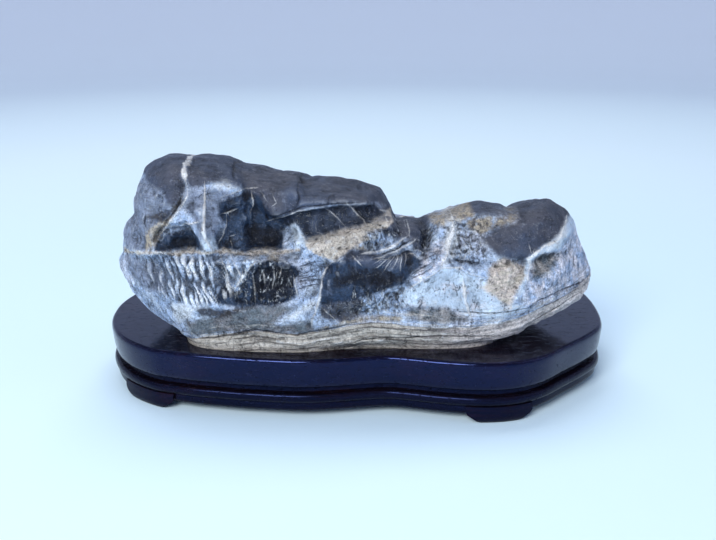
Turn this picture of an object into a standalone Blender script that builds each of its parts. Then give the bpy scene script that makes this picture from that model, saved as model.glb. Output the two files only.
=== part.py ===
# A scholar's rock seated in its carved hardwood stand.
# Metres, +Z up. The rock's length lies along X and its best face looks along -Y.
# The origin is on the ground, under the middle of the stand's box.
# Sizes and outlines below are written in millimetres, as they would be measured.

import math

import bmesh
import bpy
import numpy as np
from mathutils import Vector, noise

MM = 0.001
GAP = 0.3  # clearance between pieces that are glued or rest on each other

# Heights of the stand, from the ground up
APRON_BOTTOM = 5.0
BEAD_BOTTOM = 9.4
BEAD_TOP = 14.5
SLAB_BOTTOM = 18.0
STAND_TOP = 34.0
SEAT_FLOOR = 30.0

# The stand's plan, round its top edge, counterclockwise from the dip in its front.
# The dip, the bulges either side of it and the slanted corner at the right are as seen;
# the back is completed to match.
PLAN = [
    (17, -61.4), (27, -63.3), (42, -67.1), (57, -69.6), (67, -70.2), (78, -69.0), (89, -65.2),
    (100, -58.2), (113, -45.5), (127, -31.4), (136, -19.6), (140, -7.2), (142, 11), (142, 28),
    (140, 41), (132, 54), (117, 64), (95, 69.5), (60, 69.6), (25, 66.2), (0, 64.4), (-25, 65.4),
    (-58, 69), (-88, 69.4), (-110, 64), (-127, 53), (-137, 38), (-141.8, 20), (-142, 4),
    (-140.4, -7.2), (-137, -18), (-131, -30), (-121.7, -41.4), (-108.8, -50.9), (-97.5, -54.9),
    (-86.5, -58.2), (-70.5, -61.4), (-54.8, -64), (-29, -66.5), (-8.5, -64.6), (6.7, -62.1),
]
PLAN_STATIONS = 72

# Moulded edges of the two boards, bottom to top: how far in from the plan, and the height
SLAB_PROFILE = [
    (1.8, SLAB_BOTTOM), (1.0, 22), (0.4, 27), (0, 31.6), (0.5, 33.1), (1.7, STAND_TOP),
]
BASE_PROFILE = [
    (2.0, APRON_BOTTOM), (1.5, 5.9), (2.3, BEAD_BOTTOM), (1.1, BEAD_BOTTOM), (0.2, 10.9), (0.2, 13.0),
    (1.1, BEAD_TOP), (4.2, BEAD_TOP), (4.2, SLAB_BOTTOM - GAP),
]

# Feet: the place on the plan's edge that each one's middle is nearest to
FEET = {
    "foot_front_left": (-114, -46), "foot_front_right": (74, -70),
    "foot_back_left": (-112, 64), "foot_back_right": (106, 68),
}
FOOT_TOP = BEAD_BOTTOM - 0.1
FOOT_DEPTH = 17.0  # from its outer face inwards
# Height, half of the length along the edge, and how far the outer face is in from the plan
FOOT_LEVELS = [(0, 10.5, 1.6), (1.2, 12.5, 0.6), (3.2, 15.5, 0.1), (APRON_BOTTOM, 18, 0.2), (FOOT_TOP, 18.5, 0.6)]
FOOT_STATIONS = 9
FOOT_TAPER = 0.8  # length of the inner side against the outer
NOTCH_CLEARANCE = 0.45  # round a foot, in the apron
NOTCH_OVERRUN = 2.0  # how far a notch's cutter runs past the apron

# The rock's foot, which the seat is carved to: its plan, counterclockwise from the front left
ROCK_FOOT = [
    (-85, -46), (-66, -52.4), (-30, -54.4), (-4, -49.6), (23, -49.4), (46, -49.8), (66, -45.6),
    (79, -32), (86, -8), (80, 22), (58, 38), (20, 42), (-30, 44), (-70, 41), (-91, 24), (-96, -6), (-93, -32),
]
SEAT_CLEARANCE = 0.9
ROCK_BOTTOM = SEAT_FLOOR + 0.5
FOOT_STRATUM_TOP = 44.0

# The rock's main masses. Each is the hull of the corners where its faces meet.
ROCK_MASSES = {
    "lower left": [
        (-133, -10, 69), (-132, -8, 73), (-128, -14, 78), (-130, -16, 65), (-124, -20, 55), (-112, -30, 48),
        (-97, -40, 41), (-88, -46, 37), (-114, -36, 77), (-108, -42, 67), (-85, -50, 82), (-80, -57, 62),
        (-54, -53, 85), (-54, -59, 56), (-19, -54, 83), (-14, -59, 52), (12, -57, 50), (10, -52, 38),
        (-30, -56, 38),
        (-128, 12, 70), (-120, 30, 66), (-118, 26, 80), (-100, 42, 74), (-60, 50, 78), (0, 52, 74),
        (20, 49, 58), (-88, 44, 44), (-40, 49, 42), (0, 47, 40), (-114, 16, 48), (-98, 0, 38),
    ],
    "lower right": [
        (132, -8, 58), (131, -4, 66), (126, -6, 77), (128, -14, 54), (122, -20, 50), (111, -28, 48),
        (95, -39, 42), (86, -43, 39), (74, -47, 37), (107, -36, 77), (95, -47, 60), (73, -52, 75),
        (73, -55, 55), (47, -54, 79), (43, -56, 50), (22, -55, 76), (12, -57, 48), (119, -14, 87),
        (99, -34, 83), (63, -48, 81), (37, -49, 86), (-8, -52, 39), (-12, -57, 50), (50, -51, 38),
        (127, 14, 64), (119, 28, 60), (116, 20, 80), (98, 38, 74), (60, 46, 78), (10, 50, 78),
        (10, 47, 42), (60, 43, 40), (98, 30, 46), (114, 12, 50), (0, -20, 82), (0, 30, 82), (0, -50, 60),
    ],
    "left pillar": [
        (-121, -10, 98), (-122, -9, 103), (-120, -9, 108), (-117, -9, 115), (-116, -9, 120), (-114, -9, 123),
        (-107, -9, 127), (-100, -9, 129), (-94, -9, 130), (-90, -9, 129), (-107, -30, 121), (-95, -36, 126),
        (-87, -36, 126), (-112, -34, 108), (-109, -42, 91), (-100, -48, 84), (-86, -46, 90), (-86, -42, 110),
        (-114, 14, 112), (-104, 24, 118), (-86, 26, 120), (-110, 30, 88), (-86, 42, 84), (-118, 12, 88),
    ],
    "left shoulder": [
        (-129, -12, 77), (-129, -10, 82), (-129, -10, 88), (-126, -10, 93), (-121, -12, 97), (-118, -32, 83),
        (-115, -32, 96), (-105, -42, 100), (-104, -46, 84), (-120, 14, 92), (-118, 22, 76), (-100, 20, 96),
    ],
    "peak": [
        (-89, -9, 128), (-85, -9, 130), (-80, -9, 130), (-74, -9, 130), (-68, -9, 127), (-65, -9, 125),
        (-84, -38, 124), (-72, -42, 120), (-59, -42, 118), (-84, -50, 86), (-72, -51, 86), (-55, -50, 86),
        (-57, -44, 104), (-86, 22, 122), (-66, 24, 120), (-88, 40, 84), (-56, 44, 84),
    ],
    "top middle": [
        (-67, -9, 123.5), (-63, -9, 124), (-57, -9, 122), (-51, -9, 120), (-47, -9, 119), (-43, -9, 117),
        (-62, -36, 117), (-48, -38, 116), (-37, -38, 116), (-66, -44, 90), (-34, -44, 90), (-64, 24, 118),
        (-42, 26, 113), (-60, 44, 84), (-36, 44, 84),
    ],
    "top boss": [
        (-46, -9, 119), (-42, -9, 120), (-37, -9, 120), (-33, -9, 120), (-31, -9, 118), (-29, -9, 115),
        (-42, -40, 116), (-29, -42, 116), (-45, -44, 92), (-24, -44, 92), (-44, 22, 114), (-28, 22, 112),
        (-42, 42, 84), (-24, 42, 84),
    ],
    "top right": [
        (-31, -9, 115), (-25, -9, 116), (-20, -9, 117), (-15, -9, 116), (-6, -9, 115), (2, -9, 115),
        (8, -9, 113), (13, -9, 111), (15, -9, 105), (17, -9, 100), (20, -10, 95), (20, -12, 93),
        (-29, -43, 112), (-19, -43, 113), (-6, -41, 112), (7, -34, 109), (-29, -46, 92), (-14, -48, 92),
        (2, -44, 94), (16, -30, 95), (-28, 24, 110), (2, 22, 106), (-26, 42, 82), (10, 38, 84), (12, 10, 104),
    ],
    "waist": [
        (-122, -20, 80), (-112, -38, 80), (-84, -47, 80), (-30, -48, 80), (-121, -16, 95), (-108, -38, 95),
        (-84, -45, 99), (-28, -44, 99), (-114, 15, 80), (-108, 12, 94), (-98, 30, 80), (-28, 40, 80), (-28, 32, 98),
    ],
    "dark boss": [
        (-19, -57, 62), (-14, -58, 74), (-8, -57, 85), (10, -55, 87), (24, -53, 85), (27, -54, 74), (12, -58, 62),
        (-16, -56, 54), (-10, 0, 82), (24, 0, 84), (0, -20, 56),
    ],
    "terrace": [
        (-32, -46, 90), (-22, -50, 92), (-8, -49, 95), (6, -47, 98), (19, -38, 102), (-26, -53, 80),
        (0, -54, 80), (24, -51, 84), (-30, 0, 80), (-26, -10, 96), (18, -10, 98), (24, 0, 80),
    ],
    "saddle": [
        (17, -10, 92), (21, -10, 93), (26, -10, 93), (31, -10, 93), (36, -10, 91), (18, -34, 95),
        (26, -38, 96), (33, -36, 94), (12, -47, 86), (32, -48, 86), (16, 24, 88), (36, 24, 86), (30, 44, 78),
    ],
    "right ridge": [
        (35, -9, 95), (42, -9, 97), (49, -9, 99), (62, -9, 103), (67, -9, 104), (73, -9, 103), (79, -9, 102),
        (85, -12, 99), (43, -34, 98), (65, -31, 103), (78, -31, 102), (38, -46, 84), (63, -49, 82),
        (85, -45, 82), (40, 24, 88), (80, 24, 92), (40, 44, 78), (84, 40, 76),
    ],
    "right cap": [
        (84, -9, 99), (89, -9, 101), (95, -9, 103), (100, -9, 105), (104, -9, 106), (106, -9, 105),
        (110, -9, 103), (114, -9, 100), (119, -9, 94), (121, -10, 86), (125, -10, 78), (85, -36, 99),
        (101, -28, 101), (112, -26, 92), (106, -37, 84), (87, -45, 82), (88, 22, 94), (112, 16, 88),
        (88, 38, 76), (118, 20, 74),
    ],
}

# Hollows in the front face: outline as X and Z, how deep, and how wide the run into them is
HOLLOWS = {
    "left niche": (
        [(-101, 99), (-95, 101), (-84, 102), (-81, 94), (-80, 87), (-92, 86), (-104, 87), (-105, 92)], 9, 3,
    ),
    "middle niche": (
        [(-66, 116), (-56, 119), (-47, 117), (-45, 103), (-34, 100), (-30, 94), (-36, 88),
         (-54, 86.5), (-72, 86.5), (-72, 93), (-69, 100), (-71, 108)], 6.5, 4,
    ),
    "under the boss": (
        [(-44, 103), (-30, 107), (-8, 110), (8, 108), (14, 102), (4, 99), (-10, 96), (-24, 93), (-36, 91)], 3.5, 3,
    ),
    "beside the dark boss": (
        [(-24, 87), (-15, 84), (-11, 80), (-17, 74), (-21, 66), (-30, 70), (-33, 80)], 2.4, 4,
    ),
    "right cap underside": (
        [(84, 82), (88, 79), (103, 84), (114, 90), (118, 80), (108, 76), (92, 72), (84, 74)], 2.4, 4,
    ),
    "below the saddle": ([(20, 97), (33, 96), (35, 88), (22, 86)], 3, 3),
}

# Ridges and bosses that stand out of it, in the same way
RISES = {
    "buttress": ([(-88, 108), (-78, 110), (-76, 98), (-77, 86), (-82, 86), (-85, 98)], 2.0, 3),
    "lower ledge": (
        [(-124, 86), (-100, 84), (-60, 84), (-34, 85), (-34, 80), (-70, 79), (-110, 79), (-126, 80)], 2.2, 2,
    ),
    "terrace": ([(-28, 88), (-16, 94), (4, 97), (17, 102), (18, 98), (6, 92), (-8, 83), (-26, 82)], 2.4, 3),
    "dark boss": ([(-12, 86), (10, 88), (22, 84), (24, 72), (8, 62), (-14, 57), (-21, 60), (-17, 74)], 2.2, 3),
    "foot stratum": (
        [(-88, 40), (-60, 43), (-20, 41), (20, 46), (60, 44), (92, 50), (86, 42), (40, 36), (-84, 35)], 1.6, 3,
    ),
}

# The cleft between the pillar and the peak: its line down the face, depth and half width
CLEFT = [(-88, 132), (-88, 121), (-91, 111), (-95, 104), (-100, 99)]
CLEFT_DEPTH = 5.5
CLEFT_WIDTH = 4.5

# Upright flutes worn into the lower left face
FLUTE_PITCH = 7.5
FLUTE_DEPTH = 1.5
FLUTE_FIELD = [(-122, 76), (-58, 78), (-56, 60), (-88, 54), (-116, 58)]

VOXEL = 1.6  # grid that the masses are fused on
WEAR_ALLOWANCE = 0.45  # what wearing the corners round takes off, put back all over
FRONT_FACING = 0.25  # how squarely a surface faces forwards before a hollow cuts it in full
LUMPS = [(21, 1.5), (8, 0.7)]  # size and height of the skin's lumps
SEATED_TO = STAND_TOP + 1  # below this the foot stays true to the seat
FREE_FROM = STAND_TOP + 8  # above this the lumps have their full height
ROCK_TRIANGLES = 6400


def clear_scene():
    for thing in list(bpy.data.objects):
        bpy.data.objects.remove(thing)


def new_collection(name):
    made = bpy.data.collections.new(name)
    bpy.context.scene.collection.children.link(made)
    return made


def new_material(name, color, roughness):
    made = bpy.data.materials.new(name)
    made.use_nodes = True
    shader = made.node_tree.nodes["Principled BSDF"]
    shader.inputs["Base Color"].default_value = (*color, 1.0)
    shader.inputs["Roughness"].default_value = roughness
    shader.inputs["Metallic"].default_value = 0.0
    return made


def new_object(name, mesh, collection, material=None):
    made = bpy.data.objects.new(name, mesh)
    collection.objects.link(made)
    if material:
        mesh.materials.clear()
        mesh.materials.append(material)
    return made


# Plan curves

def smooth_loop(points, count):
    """Returns count points, evenly spaced, on a closed Catmull-Rom curve through the given ones."""
    given = np.array(points, float)
    before, after, beyond = np.roll(given, 1, 0), np.roll(given, -1, 0), np.roll(given, -2, 0)
    fine = []
    for t in np.linspace(0, 1, 12, endpoint=False):
        fine.append(0.5 * (
            2 * given + (after - before) * t + (2 * before - 5 * given + 4 * after - beyond) * t ** 2
            + (3 * given - before - 3 * after + beyond) * t ** 3
        ))
    fine = np.stack(fine, 1).reshape(-1, 2)
    closed = np.vstack([fine, fine[:1]])
    along = np.concatenate([[0], np.cumsum(np.hypot(*np.diff(closed, axis=0).T))])
    wanted = np.linspace(0, along[-1], count, endpoint=False)
    return np.column_stack([np.interp(wanted, along, closed[:, i]) for i in (0, 1)])


def inward(loop):
    """Unit normals of a counterclockwise loop, pointing into it."""
    along = np.roll(loop, -1, 0) - np.roll(loop, 1, 0)
    return np.column_stack([-along[:, 1], along[:, 0]]) / np.hypot(*along.T)[:, None]


def moved_in(loop, distance):
    return loop + inward(loop) * distance


# The stand

def stepped_board(name, loops, collection, material=None):
    """Extrudes the first loop's face up through the others. Each loop is (points, height)."""
    bm = bmesh.new()
    station = bm.verts.layers.int.new("station")
    points, height = loops[0]
    corners = [bm.verts.new((x * MM, y * MM, height * MM)) for x, y in points]
    for number, corner in enumerate(corners):
        corner[station] = number
    bottom = face = bm.faces.new(corners)
    for points, height in loops[1:]:
        made = bmesh.ops.extrude_face_region(bm, geom=[face], use_keep_orig=True)["geom"]
        if face is not bottom:
            bmesh.ops.delete(bm, geom=[face], context="FACES_ONLY")
        face = next(item for item in made if isinstance(item, bmesh.types.BMFace))
        for corner in face.verts:
            x, y = points[corner[station]]
            corner.co = (x * MM, y * MM, height * MM)
    bmesh.ops.recalc_face_normals(bm, faces=bm.faces)
    mesh = bpy.data.meshes.new(name)
    bm.to_mesh(mesh)
    bm.free()
    return new_object(name, mesh, collection, material)


def cut(target, cutter):
    boolean = target.modifiers.new(f"cut {cutter.name}", "BOOLEAN")
    boolean.operation = "DIFFERENCE"
    boolean.solver = "EXACT"
    boolean.object = cutter
    cutter.hide_render = True
    cutter.display_type = "WIRE"


def build_boards(plan, collection, cutters, wood):
    """The top board with its seat, and the moulded base board, which is returned."""
    top_loops = [(moved_in(plan, inset), z) for inset, z in SLAB_PROFILE]
    top = stepped_board("stand_top", top_loops, collection, wood)
    seat_plan = moved_in(smooth_loop(ROCK_FOOT, 56), -SEAT_CLEARANCE)
    seat = stepped_board("seat_cutter", [(seat_plan, SEAT_FLOOR), (seat_plan, STAND_TOP + 2)], cutters)
    cut(top, seat)
    base_loops = [(moved_in(plan, inset), z) for inset, z in BASE_PROFILE]
    return stepped_board("stand_base", base_loops, collection, wood)


def foot_plan(plan, middle, half_length, inset, depth):
    """A foot's section: along the plan's edge, and back along the same edge further in."""
    edge = moved_in(plan, inset)
    length = np.hypot(*(np.roll(plan, -1, 0) - plan).T).sum()
    place = np.argmin(np.hypot(*(plan - middle).T))
    reach = half_length / length * len(plan)
    stations = np.linspace(place - reach, place + reach, FOOT_STATIONS)
    inner = moved_in(plan, depth)

    def along(loop, stations):
        low = np.floor(stations).astype(int)
        share = (stations - low)[:, None]
        return loop[low % len(loop)] * (1 - share) + loop[(low + 1) % len(loop)] * share

    inner_stations = place + (stations[::-1] - place) * FOOT_TAPER
    return np.vstack([along(edge, stations), along(inner, inner_stations)])


def build_feet(plan, base, collection, cutters, wood):
    """The four bracket feet, each let into a notch in the apron."""
    widest = max(half for _, half, _ in FOOT_LEVELS) + NOTCH_CLEARANCE
    for name, middle in FEET.items():
        levels = [(foot_plan(plan, middle, half, inset, FOOT_DEPTH), z) for z, half, inset in FOOT_LEVELS]
        stepped_board(name, levels, collection, wood)
        notch = foot_plan(plan, middle, widest, -NOTCH_OVERRUN, FOOT_DEPTH + NOTCH_CLEARANCE)
        heights = (APRON_BOTTOM - NOTCH_OVERRUN, FOOT_TOP + GAP)
        cut(base, stepped_board(f"{name}_notch", [(notch, z) for z in heights], cutters))


# The rock

def hull_into(bm, corners):
    made = [bm.verts.new(Vector(corner) * MM) for corner in corners]
    hull = bmesh.ops.convex_hull(bm, input=made)
    unused = hull["geom_interior"] + hull["geom_unused"]
    loose = {item for item in unused if isinstance(item, bmesh.types.BMVert)}
    bmesh.ops.delete(bm, geom=list(loose), context="VERTS")


def evaluated_mesh(thing):
    graph = bpy.context.evaluated_depsgraph_get()
    return bpy.data.meshes.new_from_object(thing.evaluated_get(graph))


def add_remesh(thing, size):
    remesh = thing.modifiers.new("fuse", "REMESH")
    remesh.mode = "VOXEL"
    remesh.voxel_size = size * MM
    remesh.adaptivity = 0.0


def add_smooth(thing, rounds, factor=0.5):
    smooth = thing.modifiers.new("wear", "SMOOTH")
    smooth.iterations = rounds
    smooth.factor = factor


def fused_masses(cutters):
    """The masses and the foot, fused in one skin with its corners worn round."""
    bm = bmesh.new()
    for corners in ROCK_MASSES.values():
        hull_into(bm, corners)
    bmesh.ops.recalc_face_normals(bm, faces=bm.faces)
    mesh = bpy.data.meshes.new("rock_masses")
    bm.to_mesh(mesh)
    bm.free()
    masses = new_object("rock_masses", mesh, cutters)
    foot_plan_points = smooth_loop(ROCK_FOOT, 56)
    foot = stepped_board(
        "rock_foot",
        [(foot_plan_points, ROCK_BOTTOM), (foot_plan_points, FOOT_STRATUM_TOP)],
        cutters,
    )
    joined = bmesh.new()
    joined.from_mesh(masses.data)
    joined.from_mesh(foot.data)
    joined.to_mesh(masses.data)
    joined.free()
    bpy.data.objects.remove(foot)
    add_remesh(masses, VOXEL)
    add_smooth(masses, 4)
    fused = evaluated_mesh(masses)
    bpy.data.objects.remove(masses)
    return fused


def polygon_distance(points, outline):
    """Distance from each point to the outline, negative inside it."""
    corners = np.array(outline, float)
    nearest = np.full(len(points), np.inf)
    inside = np.zeros(len(points), bool)
    for a, b in zip(corners, np.roll(corners, -1, 0)):
        side = b - a
        share = np.clip((points - a) @ side / (side @ side), 0, 1)
        nearest = np.minimum(nearest, np.hypot(*(points - a - share[:, None] * side).T))
        crosses = (a[1] > points[:, 1]) != (b[1] > points[:, 1])
        with np.errstate(divide="ignore", invalid="ignore"):
            at = a[0] + (points[:, 1] - a[1]) / (b[1] - a[1]) * side[0]
        inside ^= crosses & (points[:, 0] < at)
    return np.where(inside, -nearest, nearest)


def line_distance(points, line):
    nearest = np.full(len(points), np.inf)
    for a, b in zip(np.array(line, float)[:-1], np.array(line, float)[1:]):
        side = b - a
        share = np.clip((points - a) @ side / (side @ side), 0, 1)
        nearest = np.minimum(nearest, np.hypot(*(points - a - share[:, None] * side).T))
    return nearest


def ramp(value, low, high):
    share = np.clip((value - low) / (high - low), 0, 1)
    return share * share * (3 - 2 * share)


def read_mesh(mesh):
    points = np.empty(len(mesh.vertices) * 3, np.float32)
    mesh.vertices.foreach_get("co", points)
    normals = np.empty(len(mesh.vertices) * 3, np.float32)
    mesh.vertices.foreach_get("normal", normals)
    return points.reshape(-1, 3).astype(float) / MM, normals.reshape(-1, 3).astype(float)


def write_points(mesh, points):
    mesh.vertices.foreach_set("co", (points * MM).astype(np.float32).ravel())
    mesh.update()


def carve(mesh):
    """Moves the skin in and out for the niches, ledges, cleft and flutes, and for its lumps."""
    points, normals = read_mesh(mesh)
    face = points[:, [0, 2]]
    forwards = ramp(-normals[:, 1], 0.0, FRONT_FACING)
    depth = np.zeros(len(points))
    for outline, deep, run in HOLLOWS.values():
        depth -= deep * ramp(-polygon_distance(face, outline), -run / 2, run / 2)
    for outline, high, run in RISES.values():
        depth += high * ramp(-polygon_distance(face, outline), -run / 2, run / 2)
    depth -= CLEFT_DEPTH * (1 - ramp(line_distance(face, CLEFT), 0, CLEFT_WIDTH))
    flutes = ramp(-polygon_distance(face, FLUTE_FIELD), -2, 4)
    wander = 2.2 * np.sin(face[:, 1] / 6.0) + 0.25 * face[:, 1]
    depth -= FLUTE_DEPTH * flutes * (0.5 + 0.5 * np.sin((face[:, 0] + wander) * math.tau / FLUTE_PITCH))
    points[:, 1] -= depth * forwards
    lumps = np.array([
        sum(height * noise.noise(Vector(point) / size) for size, height in LUMPS) for point in points
    ])
    above_seat = ramp(points[:, 2], SEATED_TO, FREE_FROM)
    points += normals * ((lumps + WEAR_ALLOWANCE) * above_seat)[:, None]
    write_points(mesh, points)


def build_rock(collection, cutters, stone):
    mesh = fused_masses(cutters)
    carve(mesh)
    rock = new_object("rock", mesh, collection, stone)
    add_remesh(rock, VOXEL)
    add_smooth(rock, 1, 0.4)
    decimate = rock.modifiers.new("facets", "DECIMATE")
    triangles = 2 * len(evaluated_mesh(rock).polygons)
    decimate.ratio = ROCK_TRIANGLES / triangles
    return rock


def main():
    clear_scene()
    parts = new_collection("scholars_rock")
    cutters = new_collection("cutters")
    stone = new_material("banded limestone", (0.30, 0.32, 0.36), 0.5)
    wood = new_material("dark hardwood", (0.018, 0.013, 0.022), 0.3)
    plan = smooth_loop(PLAN, PLAN_STATIONS)
    plan -= (plan.min(0) + plan.max(0)) / 2
    base = build_boards(plan, parts, cutters, wood)
    build_feet(plan, base, parts, cutters, wood)
    build_rock(parts, cutters, stone)


main()
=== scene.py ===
import math

import bmesh
import bpy
import numpy as np
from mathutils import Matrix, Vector, noise


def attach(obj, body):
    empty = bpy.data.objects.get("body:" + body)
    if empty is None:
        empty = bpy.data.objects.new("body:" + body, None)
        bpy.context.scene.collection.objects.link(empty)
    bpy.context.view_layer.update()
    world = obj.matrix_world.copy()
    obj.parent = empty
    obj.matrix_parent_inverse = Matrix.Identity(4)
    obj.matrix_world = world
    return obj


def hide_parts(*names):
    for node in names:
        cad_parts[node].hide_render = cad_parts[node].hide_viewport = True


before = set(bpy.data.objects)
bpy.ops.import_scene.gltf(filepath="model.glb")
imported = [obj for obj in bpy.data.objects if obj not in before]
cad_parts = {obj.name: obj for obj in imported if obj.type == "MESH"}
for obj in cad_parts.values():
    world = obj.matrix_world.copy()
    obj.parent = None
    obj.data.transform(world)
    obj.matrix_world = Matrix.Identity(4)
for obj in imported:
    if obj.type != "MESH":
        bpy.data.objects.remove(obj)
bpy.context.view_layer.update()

# A scholar's rock in its carved stand. Lengths below are in millimetres, in the frame of the CAD model:
# X along the rock, Z up, and the rock's best face towards -Y.
mm = 0.001
print("frame loaded:", ", ".join(sorted(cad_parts)))


# Node materials

class Value:
    # one value in a material; sums and products of it add their Math nodes
    def __init__(self, finish, socket):
        self.finish = finish
        self.socket = socket

    def math(self, operation, *values):
        return self.finish.node("Math", {"operation": operation}, dict(enumerate(values)))

    def __add__(self, other):
        return self.math("ADD", self, other)

    __radd__ = __add__

    def __sub__(self, other):
        return self.math("SUBTRACT", self, other)

    def __rsub__(self, other):
        return self.math("SUBTRACT", other, self)

    def __mul__(self, other):
        return self.math("MULTIPLY", self, other)

    __rmul__ = __mul__

    def __abs__(self):
        return self.math("ABSOLUTE", self)

    def least(self, other):
        return self.math("MINIMUM", self, other)

    def most(self, other):
        return self.math("MAXIMUM", self, other)

    def step(self, low, high):  # 0 at low, 1 at high, smooth between; it falls if high is the lesser one
        sockets = {"Value": self, "From Min": low, "From Max": high}
        return self.finish.node("MapRange", {"interpolation_type": "SMOOTHSTEP"}, sockets)

    def fall(self, low, high):  # 1 up to low, 0 from high on
        return 1.0 - self.step(low, high)


class Finish:
    # a material with one shader, and the nodes that feed it
    def __init__(self, name, **shine):
        self.material = bpy.data.materials.new(name)
        self.material.use_nodes = True
        self.tree = self.material.node_tree
        self.shader = self.tree.nodes["Principled BSDF"]
        self.feed(**shine)
        spot = self.node("TexCoord", output="Object")
        self.place = self.node("VectorMath", {"operation": "SCALE"}, {0: spot, "Scale": 1 / mm})

    def node(self, kind, settings=None, sockets=None, output=0):
        made = self.tree.nodes.new("ShaderNode" + kind)
        for key, value in (settings or {}).items():
            setattr(made, key, value)
        for key, value in (sockets or {}).items():
            self.join(value, made.inputs[key])
        return Value(self, made.outputs[output])

    def join(self, value, socket):
        if isinstance(value, Value):
            self.tree.links.new(value.socket, socket)
        elif isinstance(value, tuple) and socket.type == "RGBA":
            socket.default_value = (*value, 1.0)
        else:
            socket.default_value = value

    def mark(self, name):  # a number kept on the mesh's corners
        return self.node("Attribute", {"attribute_name": name}, output="Fac")

    def grain(self, size, detail=3.0, rough=0.55, stretch=(1, 1, 1), shift=0.0, bend=0.0, place=None):
        # noise from 0 to 1, its lumps about size mm across, drawn out by stretch
        scale = tuple(1 / (size * s) for s in stretch)
        sockets = {0: place or self.place, 1: scale, 2: (shift, shift, shift)}
        at = self.node("VectorMath", {"operation": "MULTIPLY_ADD"}, sockets)
        sockets = {"Vector": at, "Scale": 1.0, "Detail": detail, "Roughness": rough, "Distortion": bend}
        return self.node("TexNoise", None, sockets)

    def mix(self, share, first, second, way="MIX"):
        settings = {"data_type": "RGBA", "blend_type": way}
        return self.node("Mix", settings, {0: share, 6: first, 7: second}, 2)

    def blend(self, share, first, second):  # the same for plain values
        return first + share * (second - first)

    def feed(self, **sockets):
        for socket, value in sockets.items():
            self.join(value, self.shader.inputs[socket.replace("_", " ")])

    def relief(self, height, deep):  # a bump of that height in mm
        return self.node("Bump", None, {"Height": height, "Distance": deep * mm, "Strength": 1.0})

    def upward(self):  # 1 on what faces up, 0 on what stands upright
        normal = self.node("NewGeometry", output="Normal")
        return self.node("SeparateXYZ", None, {0: normal}, 2).step(0.2, 0.9)


# Plans and distances

def smoothLoop(points, count):  # even points on a closed curve through the given ones
    given = np.array(points, float)
    before = np.roll(given, 1, 0)
    after = np.roll(given, -1, 0)
    beyond = np.roll(given, -2, 0)
    fine = []
    for t in np.linspace(0, 1, 12, endpoint=False):
        square = (2 * before - 5 * given + 4 * after - beyond) * t ** 2
        cube = (3 * given - before - 3 * after + beyond) * t ** 3
        fine.append(0.5 * (2 * given + (after - before) * t + square + cube))
    fine = np.stack(fine, 1).reshape(-1, 2)
    closed = np.vstack([fine, fine[:1]])
    along = np.concatenate([[0], np.cumsum(np.hypot(*np.diff(closed, axis=0).T))])
    wanted = np.linspace(0, along[-1], count, endpoint=False)
    return np.column_stack([np.interp(wanted, along, closed[:, i]) for i in (0, 1)])


def movedIn(loop, distance):
    along = np.roll(loop, -1, 0) - np.roll(loop, 1, 0)
    inward = np.column_stack([-along[:, 1], along[:, 0]]) / np.hypot(*along.T)[:, None]
    return loop + inward * distance


def ramp(value, low, high):
    share = np.clip((value - low) / (high - low), 0, 1)
    return share * share * (3 - 2 * share)


def insideness(points, outline):  # distance to an outline, negative inside it
    corners = np.array(outline, float)
    nearest = np.full(len(points), np.inf)
    inside = np.zeros(len(points), bool)
    for a, b in zip(corners, np.roll(corners, -1, 0)):
        side = b - a
        share = np.clip((points - a) @ side / (side @ side), 0, 1)
        nearest = np.minimum(nearest, np.hypot(*(points - a - share[:, None] * side).T))
        crosses = (a[1] > points[:, 1]) != (b[1] > points[:, 1])
        with np.errstate(divide="ignore", invalid="ignore"):
            at = a[0] + (points[:, 1] - a[1]) / (b[1] - a[1]) * side[0]
        inside ^= crosses & (points[:, 0] < at)
    return np.where(inside, -nearest, nearest)


def lineSides(points, line):  # distance to a line, also with its side's sign, and how far along it is
    corners = np.array(line, float)
    lengths = np.hypot(*np.diff(corners, axis=0).T)
    starts = np.concatenate([[0], np.cumsum(lengths)])
    nearest = np.full(len(points), np.inf)
    signed = np.full(len(points), np.inf)
    along = np.zeros(len(points))
    for a, b, start, length in zip(corners[:-1], corners[1:], starts, lengths):
        side = b - a
        share = np.clip((points - a) @ side / length ** 2, 0, 1)
        away = points - a - share[:, None] * side
        distance = np.hypot(*away.T)
        hand = np.sign(side[0] * away[:, 1] - side[1] * away[:, 0])
        closer = distance < nearest
        nearest = np.where(closer, distance, nearest)
        signed = np.where(closer, distance * hand, signed)
        along = np.where(closer, (start + share * length) / starts[-1], along)
    return nearest, signed, along


def tapered(along):  # full in the middle of a line, less at its ends
    return np.sin(np.pi * (0.08 + 0.84 * along)) ** 0.7


def lumps(points, size, shift=0.0):  # smooth noise, about -1 to 1
    moved = points / size + shift
    return np.array([noise.noise(Vector(point)) for point in moved])


def crags(points, size, octaves=3, shift=0.0):  # noise with sharp ridges, about -1 to 1
    moved = points / size + shift
    raw = [noise.ridged_multi_fractal(Vector(point), 0.9, 2.0, octaves, 1.0, 2.0) for point in moved]
    return np.clip((np.array(raw) - 1.0) / 0.9, -1.2, 1.2)


# Meshes

def newPiece(name, mesh):
    piece = bpy.data.objects.new(name, mesh)
    bpy.context.scene.collection.objects.link(piece)
    return piece


def meshFrom(bm, name):
    mesh = bpy.data.meshes.new(name)
    bm.to_mesh(mesh)
    bm.free()
    return mesh


def paint(mesh, finish, sharp=None):  # smooth, apart from edges over that many degrees
    mesh.materials.clear()
    mesh.materials.append(finish.material)
    mesh.shade_smooth()
    if sharp:
        mesh.set_sharp_from_angle(angle=math.radians(sharp))


def standFor(piece, node):  # the piece takes the place of that CAD node
    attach(piece, "root")
    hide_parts(node)


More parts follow.
